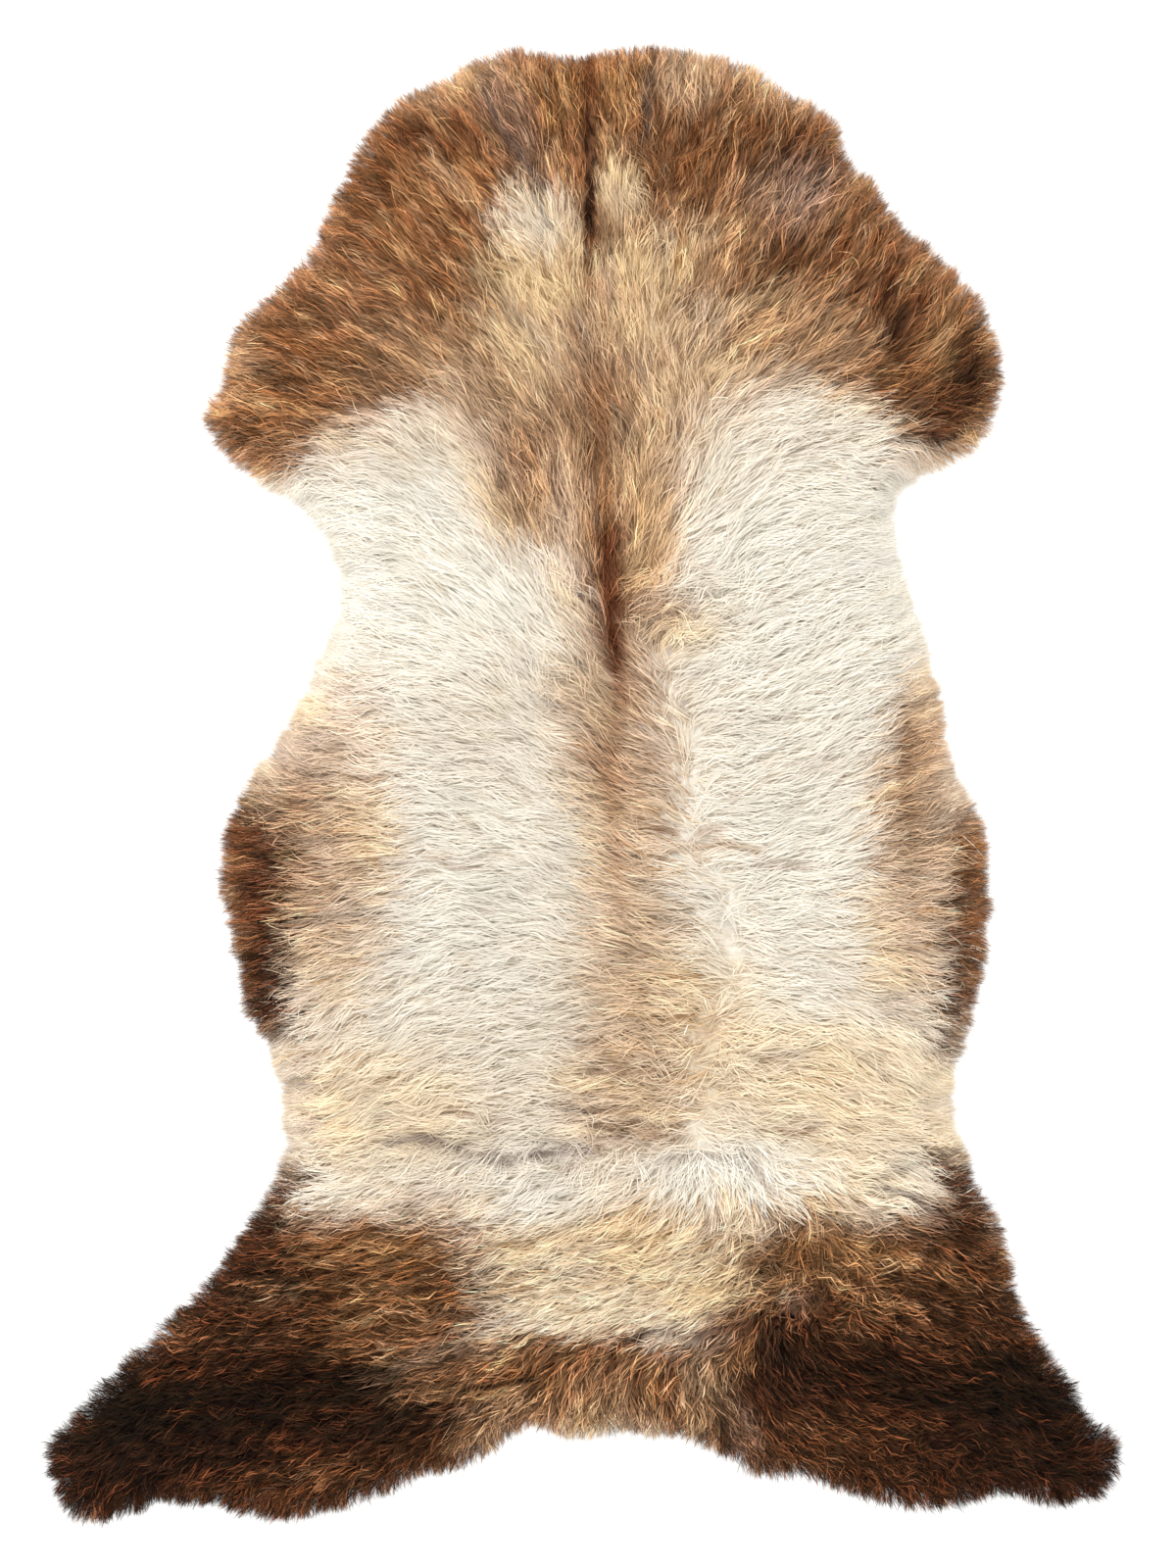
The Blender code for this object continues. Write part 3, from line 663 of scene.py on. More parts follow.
skinValues = {
    "poreScale": 900.0,
    "poreTone": 0.06,
    "poreDepth": 0.5,           # of the nap's
    "poreGloss": 0.04,
    "napScale": 260.0,
    "napTone": 0.16,
    "napGloss": 0.12,
    "mottleScale": 9.0,
    "mottle": 0.55,
    "veinScale": 14.0,
    "veins": 0.3,
    "veinDepth": 0.7,           # of the nap's
    "paleness": 0.9,
    "gloss": 0.82,
    "depth": 0.5 * mm,
    "strength": 0.6,
    "shine": 0.3,
}


def skinLook(use):
    look = Look("tannedSkin")
    place = look.place()
    spots = {"Vector": place, "Scale": use["poreScale"]}
    pores = look.node("ShaderNodeTexVoronoi", {"feature": "F1"}, spots, "Distance")
    nap = look.noise(place, use["napScale"], 4.0, 0.6)
    mottle = look.noise(place, use["mottleScale"], 5.0, 0.6)
    veins = look.noise(look.scaled(place, (1, 3, 1)), use["veinScale"], 3.0, 0.55)
    pale = tuple(linear("hide")) + (1.0,)
    brown = tuple(linear("tan")) + (1.0,)
    blotched = look.tint(use["mottle"] * mottle + use["veins"] * veins, pale, brown)
    shade = use["paleness"] + use["napTone"] * nap - use["poreTone"] * pores
    height = nap - use["poreDepth"] * pores + use["veinDepth"] * veins
    return look.finish(
        Base_Color=look.tint(1.0, blotched, grey(look, shade), "MULTIPLY"),
        Roughness=use["gloss"] + use["napGloss"] * nap - use["poreGloss"] * pores,
        Normal=look.bump(height, use["depth"], use["strength"]),
        Specular_IOR_Level=use["shine"])


def placePiece(piece, material):
    bpy.context.scene.collection.objects.link(piece)
    piece.data.materials.append(material)
    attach(piece, "root")
    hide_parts("sheepskin")
    return piece


def newMesh(name, points, corners, sides, tone=None, unwrapped=None):
    # corners: the point numbers of all faces one after another; sides: how many each face has
    mesh = bpy.data.meshes.new(name)
    mesh.vertices.add(len(points))
    mesh.vertices.foreach_set("co", np.ascontiguousarray(points, dtype=np.float32).ravel())
    mesh.loops.add(len(corners))
    mesh.loops.foreach_set("vertex_index", np.ascontiguousarray(corners, dtype=np.int32))
    mesh.polygons.add(len(sides))
    starts = np.concatenate(([0], np.cumsum(sides)[:-1])).astype(np.int32)
    mesh.polygons.foreach_set("loop_start", starts)
    mesh.update(calc_edges=True)
    mesh.polygons.foreach_set("use_smooth", np.ones(len(sides), dtype=bool))
    if tone is not None:
        tints = mesh.color_attributes.new("tone", "FLOAT_COLOR", "POINT")
        opaque = np.column_stack([tone, np.ones(len(tone))])
        tints.data.foreach_set("color", opaque.astype(np.float32).ravel())
    if unwrapped is not None:
        sheet = mesh.uv_layers.new(name="OFBake")
        sheet.uv.foreach_set("vector", np.ascontiguousarray(unwrapped, dtype=np.float32).ravel())
    return mesh


edging = {"pinches": 4, "slides": 4, "roundings": 2}    # passes that tidy the edge of a layer


def layer(name, pitch, inset, topAt, bottomAt, toneAt=None):
    # A closed slab cut to the pelt's outline, its upper and lower faces given as heights
    step = max(1, round(pitch / land.step))
    x, y = land.gridX[::step, ::step], land.gridY[::step, ::step]
    inside = land.edge[::step, ::step] > inset
    cell = inside[:-1, :-1] & inside[1:, :-1] & inside[:-1, 1:] & inside[1:, 1:]
    for _ in range(edging["pinches"]):      # cells that touch at a corner alone are dropped
        a, b, c, d = cell[:-1, :-1], cell[:-1, 1:], cell[1:, :-1], cell[1:, 1:]
        pinch = (a & d & ~b & ~c) | (b & c & ~a & ~d)
        for part in (a, b, c, d):
            part &= ~pinch
    number = np.arange(x.size).reshape(x.shape)
    quads = np.stack([number[:-1, :-1], number[:-1, 1:], number[1:, 1:], number[1:, :-1]], -1)[cell]
    used, quads = np.unique(quads, return_inverse=True)
    quads = quads.reshape(-1, 4)
    x, y = x.ravel()[used], y.ravel()[used]
    edges = np.concatenate([quads[:, [a, (a + 1) % 4]] for a in range(4)])
    count = len(used)
    keys, back = edges[:, 0] * count + edges[:, 1], edges[:, 1] * count + edges[:, 0]
    rim = edges[~np.isin(keys, back)]
    onRim = np.unique(rim)
    for _ in range(edging["slides"]):       # the rim's points slide out to the inset line
        short = land.at(land.edge, x[onRim], y[onRim]) - inset
        x[onRim] += land.at(land.outX, x[onRim], y[onRim]) * short
        y[onRim] += land.at(land.outY, x[onRim], y[onRim]) * short
    after = dict(rim.tolist())
    before = {b: a for a, b in after.items()}
    ahead = np.array([after[n] for n in onRim])
    behind = np.array([before[n] for n in onRim])
    for _ in range(edging["roundings"]):
        x[onRim] = (x[ahead] + 2 * x[onRim] + x[behind]) / 4
        y[onRim] = (y[ahead] + 2 * y[onRim] + y[behind]) / 4
    top, bottom = topAt(x, y), bottomAt(x, y)
    points = np.concatenate([np.column_stack([x, y, top]), np.column_stack([x, y, bottom])])
    walls = np.column_stack([rim[:, 1], rim[:, 0], rim[:, 0] + count, rim[:, 1] + count])
    corners = np.concatenate([quads, quads[:, ::-1] + count, walls]).ravel()
    tone = None if toneAt is None else np.tile(toneAt(x, y), (2, 1))
    mesh = newMesh(name, points, corners, np.full(len(corners) // 4, 4), tone)
    return bpy.data.objects.new(name, mesh)


# The tanned skin under the wool
skin = {"pitch": 7.5 * mm, "inset": 24 * mm, "thickness": 2 * mm}
skinPiece = layer("skin", skin["pitch"], skin["inset"],
                  lambda x, y: np.full(x.shape, skin["thickness"]), lambda x, y: np.zeros(x.shape))
placePiece(skinPiece, skinLook(skinValues))
print("skin cut,", len(skinPiece.data.polygons), "faces")

# Dense short wool between the skin and the long locks
under = {
    "pitch": 7.0 * mm,
    "inset": 10 * mm,
    "share": 0.68,              # of the wool's height
    "lump": 1.6 * mm,
    "lumpSize": 22 * mm,
    "curlSize": 9 * mm,
    "curlShare": 0.4,
    "slope": 20 * mm,           # width of the rim over which it thins out
    "thinnest": 0.25,
    "least": 4 * mm,
    "low": 2.1 * mm,            # its lower face, just over the skin
}


def underTop(x, y):
    lumps = drift(x, y, under["lumpSize"], 3) * (1 - under["curlShare"])
    lumps = lumps + drift(x, y, under["curlSize"], 4) * under["curlShare"]
    near = np.clip((land.at(land.edge, x, y) - under["inset"]) / under["slope"], under["thinnest"], 1)
    height = land.at(land.height, x, y) * under["share"] * near + under["lump"] * lumps * near
    return np.maximum(height, under["least"])


underPiece = layer("underwool", under["pitch"], under["inset"], underTop,
                   lambda x, y: np.full(x.shape, under["low"]), lambda x, y: seamed(marked(x, y), x, y))
placePiece(underPiece, underLook(underValues))
print("underwool laid,", len(underPiece.data.polygons), "faces")

# How the long wool changes along the pelt: name, up, lock length and strand width (mm), wave (degrees),
# how far a lock's strands gather to its tip, how rare the dark streaks of painted shade between the locks
# are, and how uneven the strands' tones
coat = (
    ("neck edge", 560, 22, 0.58, 7, 0.45, 1.5, 1.0),
    ("neck", 480, 23, 0.58, 8, 0.45, 1.4, 1.0),
    ("shoulders", 340, 25, 0.60, 8, 0.50, 1.4, 1.0),
    ("waist", 180, 31, 0.66, 8, 0.52, 2.2, 1.0),
    ("loin", 40, 33, 0.68, 10, 0.58, 1.7, 1.1),
    ("flanks", -120, 34, 0.68, 11, 0.64, 1.4, 1.3),
    ("rump", -280, 31, 0.72, 12, 0.66, 1.2, 1.1),
    ("hind legs", -400, 24, 0.86, 17, 0.66, 1.0, 2.0),
    ("hind leg ends", -560, 22, 0.86, 18, 0.66, 1.0, 1.8),
)

# Spots where the wool is ruffled: name, across and up (mm), half length and half width (mm), ruffle (degrees)
ruffles = (
    ("loin, beside the spine", 66, 137, 66, 18, 55),
    ("loin, spine end", -14, 72, 20, 18, 55),
    ("loin, right of the spine", 100, 92, 26, 30, 35),
    ("neck, right of the groove", 56, 452, 24, 44, 35),
    ("right foreleg", 279, 278, 26, 24, 35),
    ("back, parting", 93, -212, 34, 44, 40),
    ("rump crease", 20, -281, 175, 15, 45),
    ("right hind leg", 260, -516, 60, 34, 40),
    ("right hind leg, parting", 180, -372, 50, 46, 55),
    ("left hind leg", -250, -500, 90, 34, 25),
)

wool = {
    "pitch": 6.0 * mm,          # between the roots of two locks
    "inset": 6 * mm,            # no lock is rooted nearer to the outline
    "rimPitch": 6.8 * mm,       # of the further locks set along the rim
    "rimInset": 8 * mm,
    "rimWidth": 24 * mm,
    "strands": 8,               # in a lock
    "knots": 4,
    "fillShare": 0.42,          # of the locks that lie low and loose under the others
    "fillGather": 0.25,
    "moreGather": 0.22,         # added to the others' gather
    "lengths": (0.75, 1.25),    # least and most, of the length at that place
    "waves": (0.4, 1.6),
    "waveLength": 19 * mm,
    "waveLengths": (0.8, 1.3),
    "longestWave": 0.75,        # of the lock's length
    "bends": ((11, 50 * mm, 5), (7, 20 * mm, 7)),   # slow bends of the headings: degrees, size, seed
    "lockStray": 6,             # spread of the locks' headings, in degrees
    "ruffleWave": 0.5,          # of the ruffle, in the locks' waves
    "ruffleStray": 0.3,         # and in the strands' headings
    "ruffleSize": 26 * mm,
    "crossing": 8 * mm,         # locks this far over a parting still lie to the other side
    "keeping": 3,               # how firmly a lock keeps its heading at a parting
    "rootSpread": 3.3 * mm,
    "fillSpread": 5.2 * mm,
    "rimFrom": 1.3,             # the rim's looser wool starts this many rim widths in
    "rimLoose": 0.7,
    "rimThin": 0.3,
    "widths": (0.7, 1.25),
    "shares": (0.72, 1.12),     # of the lock's length
    "gathers": (0.6, 1.2),
    "stray": 7.0,               # spread of the strands' headings in a lock, in degrees
    "past": 5.0 * mm,           # how far tips pass the outline on average
    "ragged": 3.0 * mm,         # and its spread
    "pastLimits": (-4 * mm, 12 * mm),
    "shortest": 8 * mm,
    "rootHeights": (0.50, 0.82),    # of the wool's height
    "tipHeight": 1.0,
    "fillTipHeight": 0.84,
    "tipSpread": 0.05,
    "gatherFrom": 0.3,          # the rim's locks are loose: in rim widths from the edge
    "gatherLeast": 0.1,
    "dome": 1.3 * mm,           # how much lower a lock's sides lie than its middle
    "lowest": (0.6, 2.6),       # mm
}

# Single fine hairs: some stand off the locks, and many soften the rim
frizz = {
    "pitch": 6.4 * mm,
    "from": 9 * mm,             # how far inside the outline they are rooted
    "to": 500 * mm,
    "past": 8 * mm,             # the furthest a tip may pass the outline
    "length": 17 * mm,
    "width": 0.42 * mm,
    "stray": 18.0,              # spread of their headings, in degrees
    "curl": 26.0,
    "top": 1.14,                # of the wool's height, the tallest
}
hairShape = {
    "lengths": (0.6, 1.4),
    "widths": (0.7, 1.2),
    "root": 0.86,               # heights, of the wool's
    "top": 0.96,
    "arch": 2.2,                # radians of a sine's arch from root to tip
    "lowest": 1.2 * mm,
}
fuzz = {
    "pitch": 2.6 * mm,
    "from": 2 * mm,
    "to": 13 * mm,
    "past": 10 * mm,
    "length": 13 * mm,
    "width": 0.40 * mm,
    "stray": 17.0,
    "curl": 20.0,
    "top": 1.05,
}


scatter = 0.42                  # of the pitch, how far a root may lie from its place


def rootPlaces(pitch, shift):
    rows = np.arange(land.ys[0], land.ys[-1], pitch * math.sqrt(3) / 2)
    columns = np.arange(land.xs[0], land.xs[-1], pitch)
    x, y = np.meshgrid(columns + shift * pitch, rows + shift * pitch)
    x[::2] += pitch / 2
    x, y = x.ravel(), y.ravel()
    x = x + luck.uniform(-scatter, scatter, x.size) * pitch
    y = y + luck.uniform(-scatter, scatter, y.size) * pitch
    return x, y


ruffleEdge = 1.4                # of a ruffle's half length, where it has died away


def ruffled(x, y):
    amount = np.zeros(x.shape)
    for _, across, up, halfLong, halfWide, degrees in ruffles:
        far = np.hypot((x / mm - across) / halfLong, (y / mm - up) / halfWide)
        amount = np.maximum(amount, degrees * np.clip(ruffleEdge - far, 0, 1))
    return amount


def coatAt(y, column):
    rows = coat[::-1]
    return np.interp(y, np.array([row[1] for row in rows]) * mm, [row[column] for row in rows])


def growLocks(use):
    # Roots, headings and paths of all locks: arrays with one row a lock and one column a knot
    x, y = rootPlaces(use["pitch"], 0.0)
    rimX, rimY = rootPlaces(use["rimPitch"], 0.37)
    depth, rimDepth = land.at(land.edge, x, y), land.at(land.edge, rimX, rimY)
    keep, rimKeep = depth > use["inset"], (rimDepth > use["rimInset"]) & (rimDepth < use["rimWidth"])
    x, y = np.concatenate([x[keep], rimX[rimKeep]]), np.concatenate([y[keep], rimY[rimKeep]])
    count = len(x)
    length = coatAt(y, 2) * mm * luck.uniform(*use["lengths"], count)
    ruffle = ruffled(x, y)
    fill = luck.random(count) < use["fillShare"]
    strayX, strayY = luck.normal(size=(2, count)) * use["crossing"]
    wave = coatAt(y, 4) * luck.uniform(*use["waves"], count) + ruffle * use["ruffleWave"]
    sideways = sum(degrees * drift(x, y, size, seed) for degrees, size, seed in use["bends"])
    sideways = sideways + use["lockStray"] * luck.normal(size=count)
    sideways = sideways + ruffle * drift(x, y, use["ruffleSize"], 6)
    phase = luck.uniform(0, 2 * math.pi, count)
    waveLength = use["waveLength"] * luck.uniform(*use["waveLengths"], count)
    waveLength = np.minimum(waveLength, length * use["longestWave"])
    paths = np.zeros((count, use["knots"], 2))
    paths[:, 0] = np.column_stack([x, y])
    stride = length / (use["knots"] - 1)
    keptX, keptY = 0.0, 0.0     # at a parting a lock keeps the heading it had
    for knot in range(1, use["knots"]):
        lastX, lastY = paths[:, knot - 1, 0], paths[:, knot - 1, 1]
        lookX, lookY = lastX + strayX, lastY + strayY
        parted = 0
        if knot > 1:
            parted = np.clip(land.at(land.parting, lookX, lookY) * use["keeping"], 0, 1)
        keptX = keptX * parted + land.at(land.combX, lookX, lookY)
        keptY = keptY * parted + land.at(land.combY, lookX, lookY)
        heading = np.arctan2(keptY, keptX)
        swing = sideways + wave * np.sin(2 * math.pi * stride * knot / waveLength + phase)
        heading = heading + np.radians(swing)
        paths[:, knot] = np.column_stack([lastX + stride * np.cos(heading), lastY + stride * np.sin(heading)])
    gather = np.where(fill, use["fillGather"], coatAt(y, 5) + use["moreGather"])
    inward = land.at(land.edge, x, y) / use["rimWidth"] - use["gatherFrom"]
    gather = gather * np.clip(inward, use["gatherLeast"], 1)
    return paths, length, coatAt(y, 3) * mm, gather, ruffle, fill


def reachOf(paths, ragged):
    # The share of each path that lies within the outline, tips allowed to pass it by the ragged distance
    count, knots, _ = paths.shape
    reach = np.ones(count)
    for part in np.linspace(1, 0, 17):
        spot = part * (knots - 1)
        low = min(int(spot), knots - 2)
        at = paths[:, low] * (1 - (spot - low)) + paths[:, low + 1] * (spot - low)
        outside = land.at(land.edge, at[:, 0], at[:, 1]) < -ragged
        reach[outside] = part
    return reach


def growStrands(use):
    locks, lockLength, lockWidth, lockGather, ruffle, fill = growLocks(use)
    each = use["strands"]
    count = len(locks) * each
    paths = np.repeat(locks, each, axis=0)
    length = np.repeat(lockLength, each)
    width = np.repeat(lockWidth, each) * luck.uniform(*use["widths"], count)
    turn = luck.uniform(0, 2 * math.pi, count)
    low = np.repeat(fill, each)
    depth = land.at(land.edge, paths[:, 0, 0], paths[:, 0, 1])
    rim = np.clip(use["rimFrom"] - depth / use["rimWidth"], 0, 1)
    spread = np.where(low, use["fillSpread"], use["rootSpread"] * (1 + use["rimLoose"] * rim))
    width = width * (1 - use["rimThin"] * rim)
    away = spread * np.sqrt(luck.uniform(0, 1, count))
    offset = np.column_stack([away * np.cos(turn), away * np.sin(turn)])
    share = luck.uniform(*use["shares"], count)
    along = np.linspace(0, 1, use["knots"])
    root = paths[:, :1]
    gather = np.repeat(lockGather, each) * luck.uniform(*use["gathers"], count)
    stray = use["stray"] * luck.normal(size=count)
    turned = np.radians(stray + use["ruffleStray"] * np.repeat(ruffle, each) * luck.normal(size=count))
    c, s = (np.cos(turned) * share)[:, None], (np.sin(turned) * share)[:, None]
    dx, dy = paths[..., 0] - root[..., 0], paths[..., 1] - root[..., 1]
    paths = root + np.stack([dx * c - dy * s, dx * s + dy * c], axis=-1)
    paths = paths + offset[:, None, :] * (1 - gather[:, None, None] * along[None, :, None])
    ragged = use["past"] + use["ragged"] * luck.normal(size=count)
    reach = reachOf(paths, np.clip(ragged, *use["pastLimits"]))
    keep = reach * length * share > use["shortest"]
    reach = np.where(keep, reach, 1)
    spots = along[None, :] * reach[:, None] * (use["knots"] - 1)
    first = np.minimum(spots.astype(int), use["knots"] - 2)
    rest = (spots - first)[..., None]
    rows = np.arange(count)[:, None]
    paths = paths[rows, first] * (1 - rest) + paths[rows, first + 1] * rest
    lockLift = np.repeat(luck.normal(size=len(locks)), each) * use["tipSpread"]
    root = luck.uniform(*use["rootHeights"], count)
    fillTip = luck.normal(use["fillTipHeight"], use["tipSpread"], count)
    tip = np.where(low, fillTip, luck.normal(use["tipHeight"], use["tipSpread"], count)) + lockLift
    rise = 1 - (1 - along) ** 2
    ground = land.at(land.height, paths[..., 0], paths[..., 1])
    dome = use["dome"] * (away / spread) ** 2
    lift = root[:, None] + (tip - root)[:, None] * rise[None, :]
    z = ground * lift - dome[:, None] * (1 - 0.5 * along)
    least = luck.uniform(*use["lowest"], count) * mm
    z = np.maximum(z, least[:, None])
    lock = np.repeat(np.arange(len(locks)), each)
    return {
        "points": np.dstack([paths, z])[keep],
        "width": width[keep],
        "lock": lock[keep],
        "low": low[keep],
        "side": (away / spread)[keep],      # 0 in the middle of its lock, 1 at the lock's side
    }


def growHairs(use, knots):
    x, y = rootPlaces(use["pitch"], 0.61)
    depth = land.at(land.edge, x, y)
    keep = (depth > use["from"]) & (depth < use["to"])
    x, y = x[keep], y[keep]
    count = len(x)
    length = use["length"] * luck.uniform(*hairShape["lengths"], count)
    heading = np.arctan2(land.at(land.combY, x, y), land.at(land.combX, x, y))
    heading += np.radians(use["stray"]) * luck.normal(size=count)
    bend = np.radians(use["curl"]) * luck.normal(size=count) / (knots - 1)
    stride = length / (knots - 1)
    spots = [np.column_stack([x, y])]
    for knot in range(1, knots):
        way = heading + bend * knot
        spots.append(spots[-1] + np.column_stack([stride * np.cos(way), stride * np.sin(way)]))
    paths = np.stack(spots, axis=1)
    along = np.linspace(0, 1, knots)
    ground = land.at(land.height, paths[..., 0], paths[..., 1])
    rise = luck.uniform(hairShape["top"], use["top"], count) - hairShape["root"]
    z = ground * (hairShape["root"] + rise[:, None] * np.sin(along * hairShape["arch"])[None, :])
    z = np.maximum(z, hairShape["lowest"])
    keep = land.at(land.edge, paths[:, -1, 0], paths[:, -1, 1]) > -use["past"]
    width = use["width"] * luck.uniform(*hairShape["widths"], count)
    kept = int(keep.sum())
    return {
        "points": np.dstack([paths, z])[keep],
        "width": width[keep],
        "lock": np.arange(kept),
        "low": np.zeros(kept, dtype=bool),
        "side": np.zeros(kept),
    }


# Where a strand's tone is looked up, and how it strays from the markings' tone there
strandLook = {
    "jitter": 1.5 * mm,
    "lockSlide": 4 * mm,        # along the comb, for a whole lock
    "strandSlide": 4.5 * mm,
    "cloudReach": 22 * mm,      # length of the streaks that run along the comb
    "hairReach": 10 * mm,
    "pale": (0.16, 0.56),       # mean tones where wool begins to count as pale, and where it fully does
    "deep": (0.11, 0.04),
    "white": (0.66, 0.78),
    "shadeGapSoftness": 0.5,         # of the fine dark streaks, painted shade in the gaps between the locks
    "shadeGapTint": (0.42, 0.52, 0.62),
    "shadeGapDark": 0.14,
    "shadeGapWhite": 1.2,            # they are rarer in white wool
    "shadeGapTinted": 0.3,
    "patchSize": 20 * mm,
    "lights": (0.12, 3.0),
    "lineLights": (0.5, 1.7),
    "darkTint": (0.04, 0.10, 0.14),
    "whiteTint": (0.07, 0.055, 0.05),
    # warmer painted shade of the locks lying low under the others
    "lowShadeTint": (1.02, 0.98, 0.93),
    # warmer painted shade at the roots, deep in the pile
    "rootShadeTint": (0.0, 0.07, 0.16),
    "fade": 0.9,
    "bleach": (0.10, 0.04),     # gold in the tips of middling and of deep wool
    "limits": (0.003, 0.93),
}
# Change of a strand's tone, at random and as painted light and shade: in all wool, and how much more in
# tinted, dark and deep wool
lightShares = {
    "clouds": (0.02, 0.05, 0.12, 0),
    "hairs": (0.02, 0.05, 0.26, 0),
    "patches": (0, 0.05, 0.10, 0),
    "locks": (0.015, 0.045, 0.17, 0.20),
    "strands": (0.02, 0.09, 0.40, 0.42),
    # low and high are painted shade and light: locks lying low under the others are darker, the upper ones
    # lighter; side paints shade on a lock's sides and light on its middle
    "low": (0.97, -0.06, -0.25, 0),
    "high": (1.01, 0.06, 0.05, 0),
    "side": (0.02, 0.10, 0.48, 0),
    # root and tip: the darker roots are painted shade deep in the pile; the lighter tips of dark wool are
    # partly its own colour, partly painted light
    "root": (0.97, -0.09, -0.45, 0),
    "tip": (1.01, 0.04, 0.20, 0),
}


def between(value, none, full):
    return np.clip((value - none) / (full - none), 0, 1)


def strandTones(grown, use):
    points, lock, low = grown["points"], grown["lock"], grown["low"]
    count = len(points)
    middle = (points[:, -2, :2] + points[:, -1, :2]) / 2 + luck.normal(size=(count, 2)) * use["jitter"]
    x, y = middle[:, 0], middle[:, 1]
    wayX, wayY = land.at(land.combX, x, y), land.at(land.combY, x, y)
    slide = luck.normal(size=lock.max() + 1)[lock] * use["lockSlide"]
    slide = slide + luck.normal(size=count) * use["strandSlide"]
    x, y = x + wayX * slide, y + wayY * slide
    colour = marked(x, y)
    clouds = land.at(streaked(use["cloudReach"], 1), x, y)
    hairs = land.at(streaked(use["hairReach"], 0), x, y)

    mean = colour.mean(axis=1)
    pale, deep, white = (between(mean, *use[kind]) for kind in ("pale", "deep", "white"))
    dark, tinted, middling = 1 - pale, pale * (1 - white), (1 - pale) * (1 - deep)

    def share(name):
        always, ifTinted, ifDark, ifDeep = lightShares[name]
        return always + ifTinted * tinted + ifDark * dark + ifDeep * deep

    mixes = (       # tone, the most of it, chance pattern
        ("honey", 0.42 * pale * (1 - 0.85 * white), drift(x, y, 90 * mm, 31) + 0.30 * clouds),
        ("smoke", 0.40 * pale * (1 - 0.60 * white), 0.7 * drift(x, y, 50 * mm, 32) - 0.30 * clouds),
        ("tan", 0.25 * pale * (1 - 0.90 * white), -0.5 * hairs + 0.35 * luck.normal(size=count) - 0.2),
        ("beige", 0.50 * middling, 0.8 * drift(x, y, 18 * mm, 35) - 0.35),
        ("chestnut", 0.50 * middling, -0.8 * drift(x, y, 18 * mm, 35) - 0.35),
        ("gold", 0.42 * middling, 0.6 * drift(x, y, 30 * mm, 33) + 0.4 * clouds - 0.2),
        ("ginger", 0.45 * deep, 0.5 * drift(x, y, 30 * mm, 33) + 0.4 * clouds - 0.1),
    )
    for tone, most, pattern in mixes:
        colour += (linear(tone) - colour) * (most * np.clip(pattern, 0, 1))[:, None]

    # Fine dark streaks of painted shade in the gaps between the locks
    threshold = coatAt(y, 6) + use["shadeGapWhite"] * white - use["shadeGapTinted"] * tinted
    gap = between(hairs, threshold, threshold + use["shadeGapSoftness"])
    colour = colour * (1 - gap[:, None] * (np.array(use["shadeGapTint"]) + use["shadeGapDark"] * dark[:, None]))

    light = 1 + share("clouds") * clouds + share("hairs") * hairs
    light += share("patches") * drift(x, y, use["patchSize"], 34)
    lockSpread, strandSpread = share("locks"), share("strands") * coatAt(y, 7)
    uneven = luck.normal(size=lock.max() + 1)[lock] * lockSpread + luck.normal(size=count) * strandSpread
    light *= np.exp(uneven - 0.5 * (lockSpread ** 2 + strandSpread ** 2))
    # Painted shade and light: locks lying low under the others darker, the upper ones lighter, and a lock's
    # sides darker than its middle
    light *= np.where(low, share("low"), share("high"))
    light *= 1 + share("side") * (0.5 - grown["side"] ** 2) * ~low
    colour = colour * np.clip(light, *use["lights"])[:, None]
    colour *= 1 - dark[:, None] * use["darkTint"] - white[:, None] * use["whiteTint"]
    # the low locks' painted shade is warmer
    colour[low] *= use["lowShadeTint"]
    colour = streaky(colour, points[:, 1:, 0].mean(axis=1), points[:, 1:, 1].mean(axis=1))

    # From root to tip a strand grows lighter and less yellow: the darker, warmer roots are painted shade deep
    # in the pile, and the lighter tips of dark wool are partly its own colour, partly painted light; dark
    # wool is bleached at its tips
    along = np.linspace(0, 1, points.shape[1])[None, :]
    root, tip = share("root")[:, None], share("tip")[:, None]
    fade = root + (tip - root) * along ** use["fade"]
    shadeWarmth = (1 - along[..., None]) * (1 - 0.6 * white)[:, None, None] * use["rootShadeTint"]
    tones = colour[:, None, :] * fade[..., None] * (1 - shadeWarmth)
    forMiddling, forDeep = use["bleach"]
    bleached = (forMiddling * middling + forDeep * deep)[:, None] * along ** 2
    tones += (linear("gold") - tones) * bleached[..., None]
    patchy = luck.random(count)[:, None]
    shown = np.clip(light, *use["lineLights"])[:, None, None]
    tones = seamed(tones, points[..., 0], points[..., 1], shown, patchy, lineValues["narrow"])
    return np.clip(tones, *use["limits"])


ribbon = {
    "rollTones": (0.12, 0.60),      # pale wool is silkier: its strands lie flat
    "rolls": (0.90, 0.28),          # radians, the most at those tones
    "taperAt": (0, 0.3, 0.75, 1),
    "taper": (0.75, 1.0, 0.8, 0.0),
    "lowest": 0.3 * mm,
    "cell": (0.8, 0.9),             # of its cell in the unwrapped picture, across and along
}


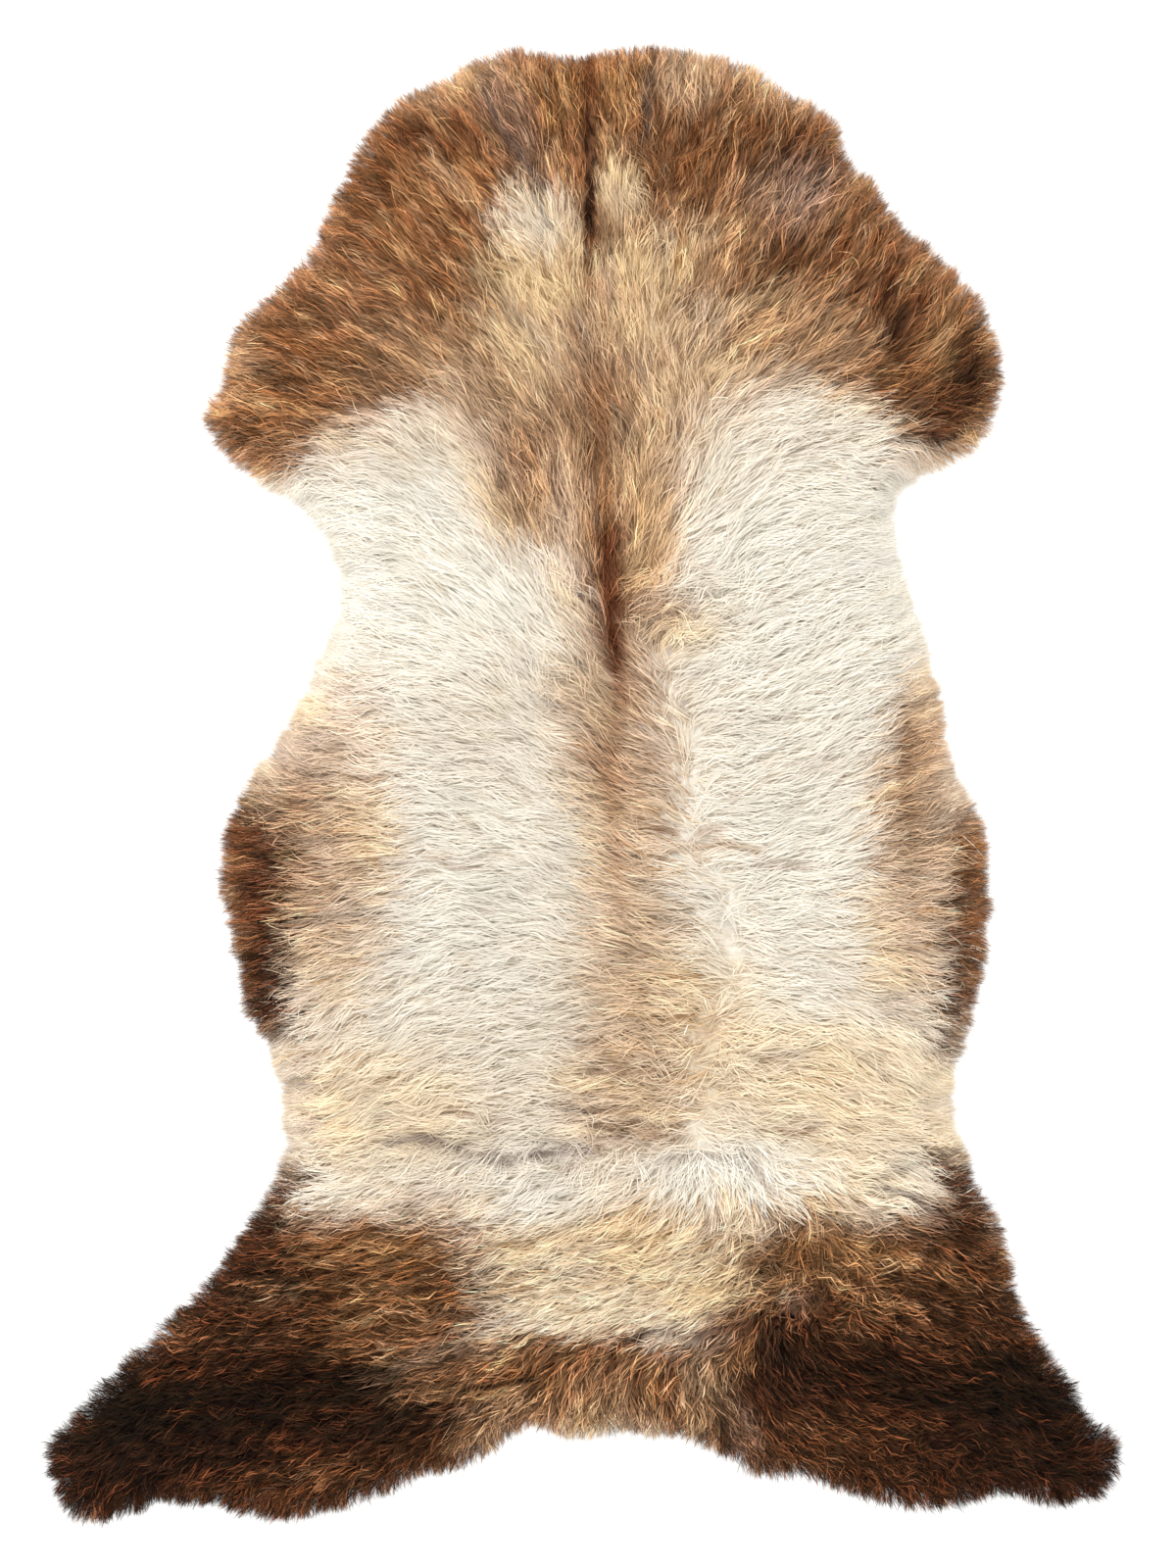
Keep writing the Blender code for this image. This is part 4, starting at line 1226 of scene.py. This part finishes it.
def ribbons(name, points, width, tone, tiles):
    # One flat tapering strip a strand, ending in a point
    count, knots, _ = points.shape
    along = np.gradient(points, axis=1)
    along /= np.linalg.norm(along, axis=2, keepdims=True) + 1e-9
    level = np.cross(np.broadcast_to((0.0, 0.0, 1.0), along.shape), along)
    level /= np.linalg.norm(level, axis=2, keepdims=True) + 1e-9
    upward = np.cross(along, level)
    most = np.interp(tone.mean(axis=(1, 2)), ribbon["rollTones"], ribbon["rolls"])
    roll = (luck.uniform(-1, 1, count) * most)[:, None, None]
    side = level * np.cos(roll) + upward * np.sin(roll)
    taper = np.interp(np.linspace(0, 1, knots), ribbon["taperAt"], ribbon["taper"])
    half = side * (width[:, None] * taper[None, :])[..., None] / 2
    each = 2 * knots - 1
    body = np.stack([points - half, points + half], axis=2)[:, :-1].reshape(count, -1, 3)
    vertices = np.concatenate([body, points[:, -1:]], axis=1)
    vertices[..., 2] = np.maximum(vertices[..., 2], ribbon["lowest"])
    one = [n for k in range(knots - 2) for n in (2 * k, 2 * k + 1, 2 * k + 3, 2 * k + 2)]
    one += [2 * knots - 4, 2 * knots - 3, 2 * knots - 2]
    corners = (np.arange(count)[:, None] * each + np.array(one)[None, :]).ravel()
    sides = np.tile([4] * (knots - 2) + [3], count)
    tint = np.concatenate([np.repeat(tone[:, :-1], 2, axis=1), tone[:, -1:]], axis=1).reshape(-1, 3)
    wide, tall = ribbon["cell"]
    u = np.array([(1 - wide) / 2, (1 + wide) / 2] * (knots - 1) + [0.5])
    v = np.append(np.repeat(np.linspace(0, 1, knots)[:-1], 2), 1) * tall + (1 - tall) / 2
    across, up = np.arange(count) % tiles, np.arange(count) // tiles
    cellU = (across[:, None] + u[None, :]) / tiles
    cellV = (up[:, None] + v[None, :]) / tiles
    unwrapped = np.stack([cellU.ravel()[corners], cellV.ravel()[corners]], -1)
    return bpy.data.objects.new(name, newMesh(name, vertices.reshape(-1, 3), corners, sides, tint, unwrapped))


grown = growStrands(wool)
for kind in (frizz, fuzz):
    hairs = growHairs(kind, wool["knots"])
    hairs["lock"] += grown["lock"].max() + 1
    grown = {name: np.concatenate([grown[name], hairs[name]]) for name in grown}
grown["tone"] = strandTones(grown, strandLook)
print("strands grown,", len(grown["points"]))

# The long wool is made in bands from the neck down: name, lower limit of the roots (mm)
bands = (("neckWool", 390), ("shoulderWool", 265), ("waistWool", 70), ("flankWool", -110), ("rumpWool", -290),
         ("hindLegWool", -430), ("legEndWool", -700))
woolMaterial = woolLook(woolValues)
upper = 700
for name, lower in bands:
    rootY = grown["points"][:, 0, 1] / mm
    chosen = (rootY < upper) & (rootY >= lower)
    parts = (grown[part][chosen] for part in ("points", "width", "tone"))
    piece = ribbons(name, *parts, woolValues["tiles"])
    placePiece(piece, woolMaterial)
    print(name, int(chosen.sum()), "strands,", int(chosen.sum()) * (2 * wool["knots"] - 3), "triangles")
    upper = lower

skinArea = float((land.edge > skin["inset"]).sum()) * land.step ** 2
print("skin declared as a sheet of", round(skinArea, 3), "square metres")

# Floor, light and camera
studio = {
    "floorSize": 9.0,
    "floorLight": (0.86, 0.86, 0.85, 1.0),
    "grainLight": (0.8, 0.8, 0.8, 1.0),
    "grainScale": 160.0,
    "grainShare": 0.04,
    "grainDepth": 0.1 * mm,
    "grainStrength": 0.1,
    "gloss": 0.85,
    "grainGloss": 0.1,
    "skyLight": 1.15,
    "keyPower": 85.0,
    "keyPlace": (-1.3, 1.6, 2.6),
    "keySize": 3.2,
    "lens": 85.0,
    "sensor": 36.0,
    "seenLength": 1.2128,       # of the pelt's plane, top to bottom of the picture
    "middle": (3.8 * mm, 1.1 * mm, 12 * mm),
}


def floorLook(use):
    look = Look("paleFloor")
    grain = look.noise(look.place(), use["grainScale"], 3.0)
    return look.finish(
        Base_Color=look.tint(use["grainShare"] * grain, use["floorLight"], use["grainLight"]),
        Roughness=use["gloss"] + use["grainGloss"] * grain,
        Normal=look.bump(grain, use["grainDepth"], use["grainStrength"]))


half = studio["floorSize"] / 2
floorMesh = bpy.data.meshes.new("floor")
floorCorners = [(-half, -half, 0), (half, -half, 0), (half, half, 0), (-half, half, 0)]
floorMesh.from_pydata(floorCorners, [], [(0, 1, 2, 3)])
floor = bpy.data.objects.new("floor", floorMesh)
floorMesh.materials.append(floorLook(studio))
bpy.context.scene.collection.objects.link(floor)

world = bpy.data.worlds.new("studio")
world.use_nodes = True
world.node_tree.nodes["Background"].inputs["Color"].default_value = (1.0, 1.0, 1.0, 1.0)
world.node_tree.nodes["Background"].inputs["Strength"].default_value = studio["skyLight"]
bpy.context.scene.world = world

key = bpy.data.lights.new("key", "AREA")
key.shape = "DISK"
key.size = studio["keySize"]
key.energy = studio["keyPower"]
keyLamp = bpy.data.objects.new("key", key)
keyLamp.location = studio["keyPlace"]
keyLamp.rotation_euler = (-Vector(studio["keyPlace"])).to_track_quat("-Z", "Y").to_euler()
bpy.context.scene.collection.objects.link(keyLamp)

camera = bpy.data.cameras.new("camera")
camera.lens = studio["lens"]
camera.sensor_width = studio["sensor"]
cameraPost = bpy.data.objects.new("camera", camera)
x, y, z = studio["middle"]
cameraPost.location = (x, y, z + studio["seenLength"] * studio["lens"] / studio["sensor"])
bpy.context.scene.collection.objects.link(cameraPost)
bpy.context.scene.camera = cameraPost
bpy.context.scene.view_settings.view_transform = "Standard"
print("stage set")
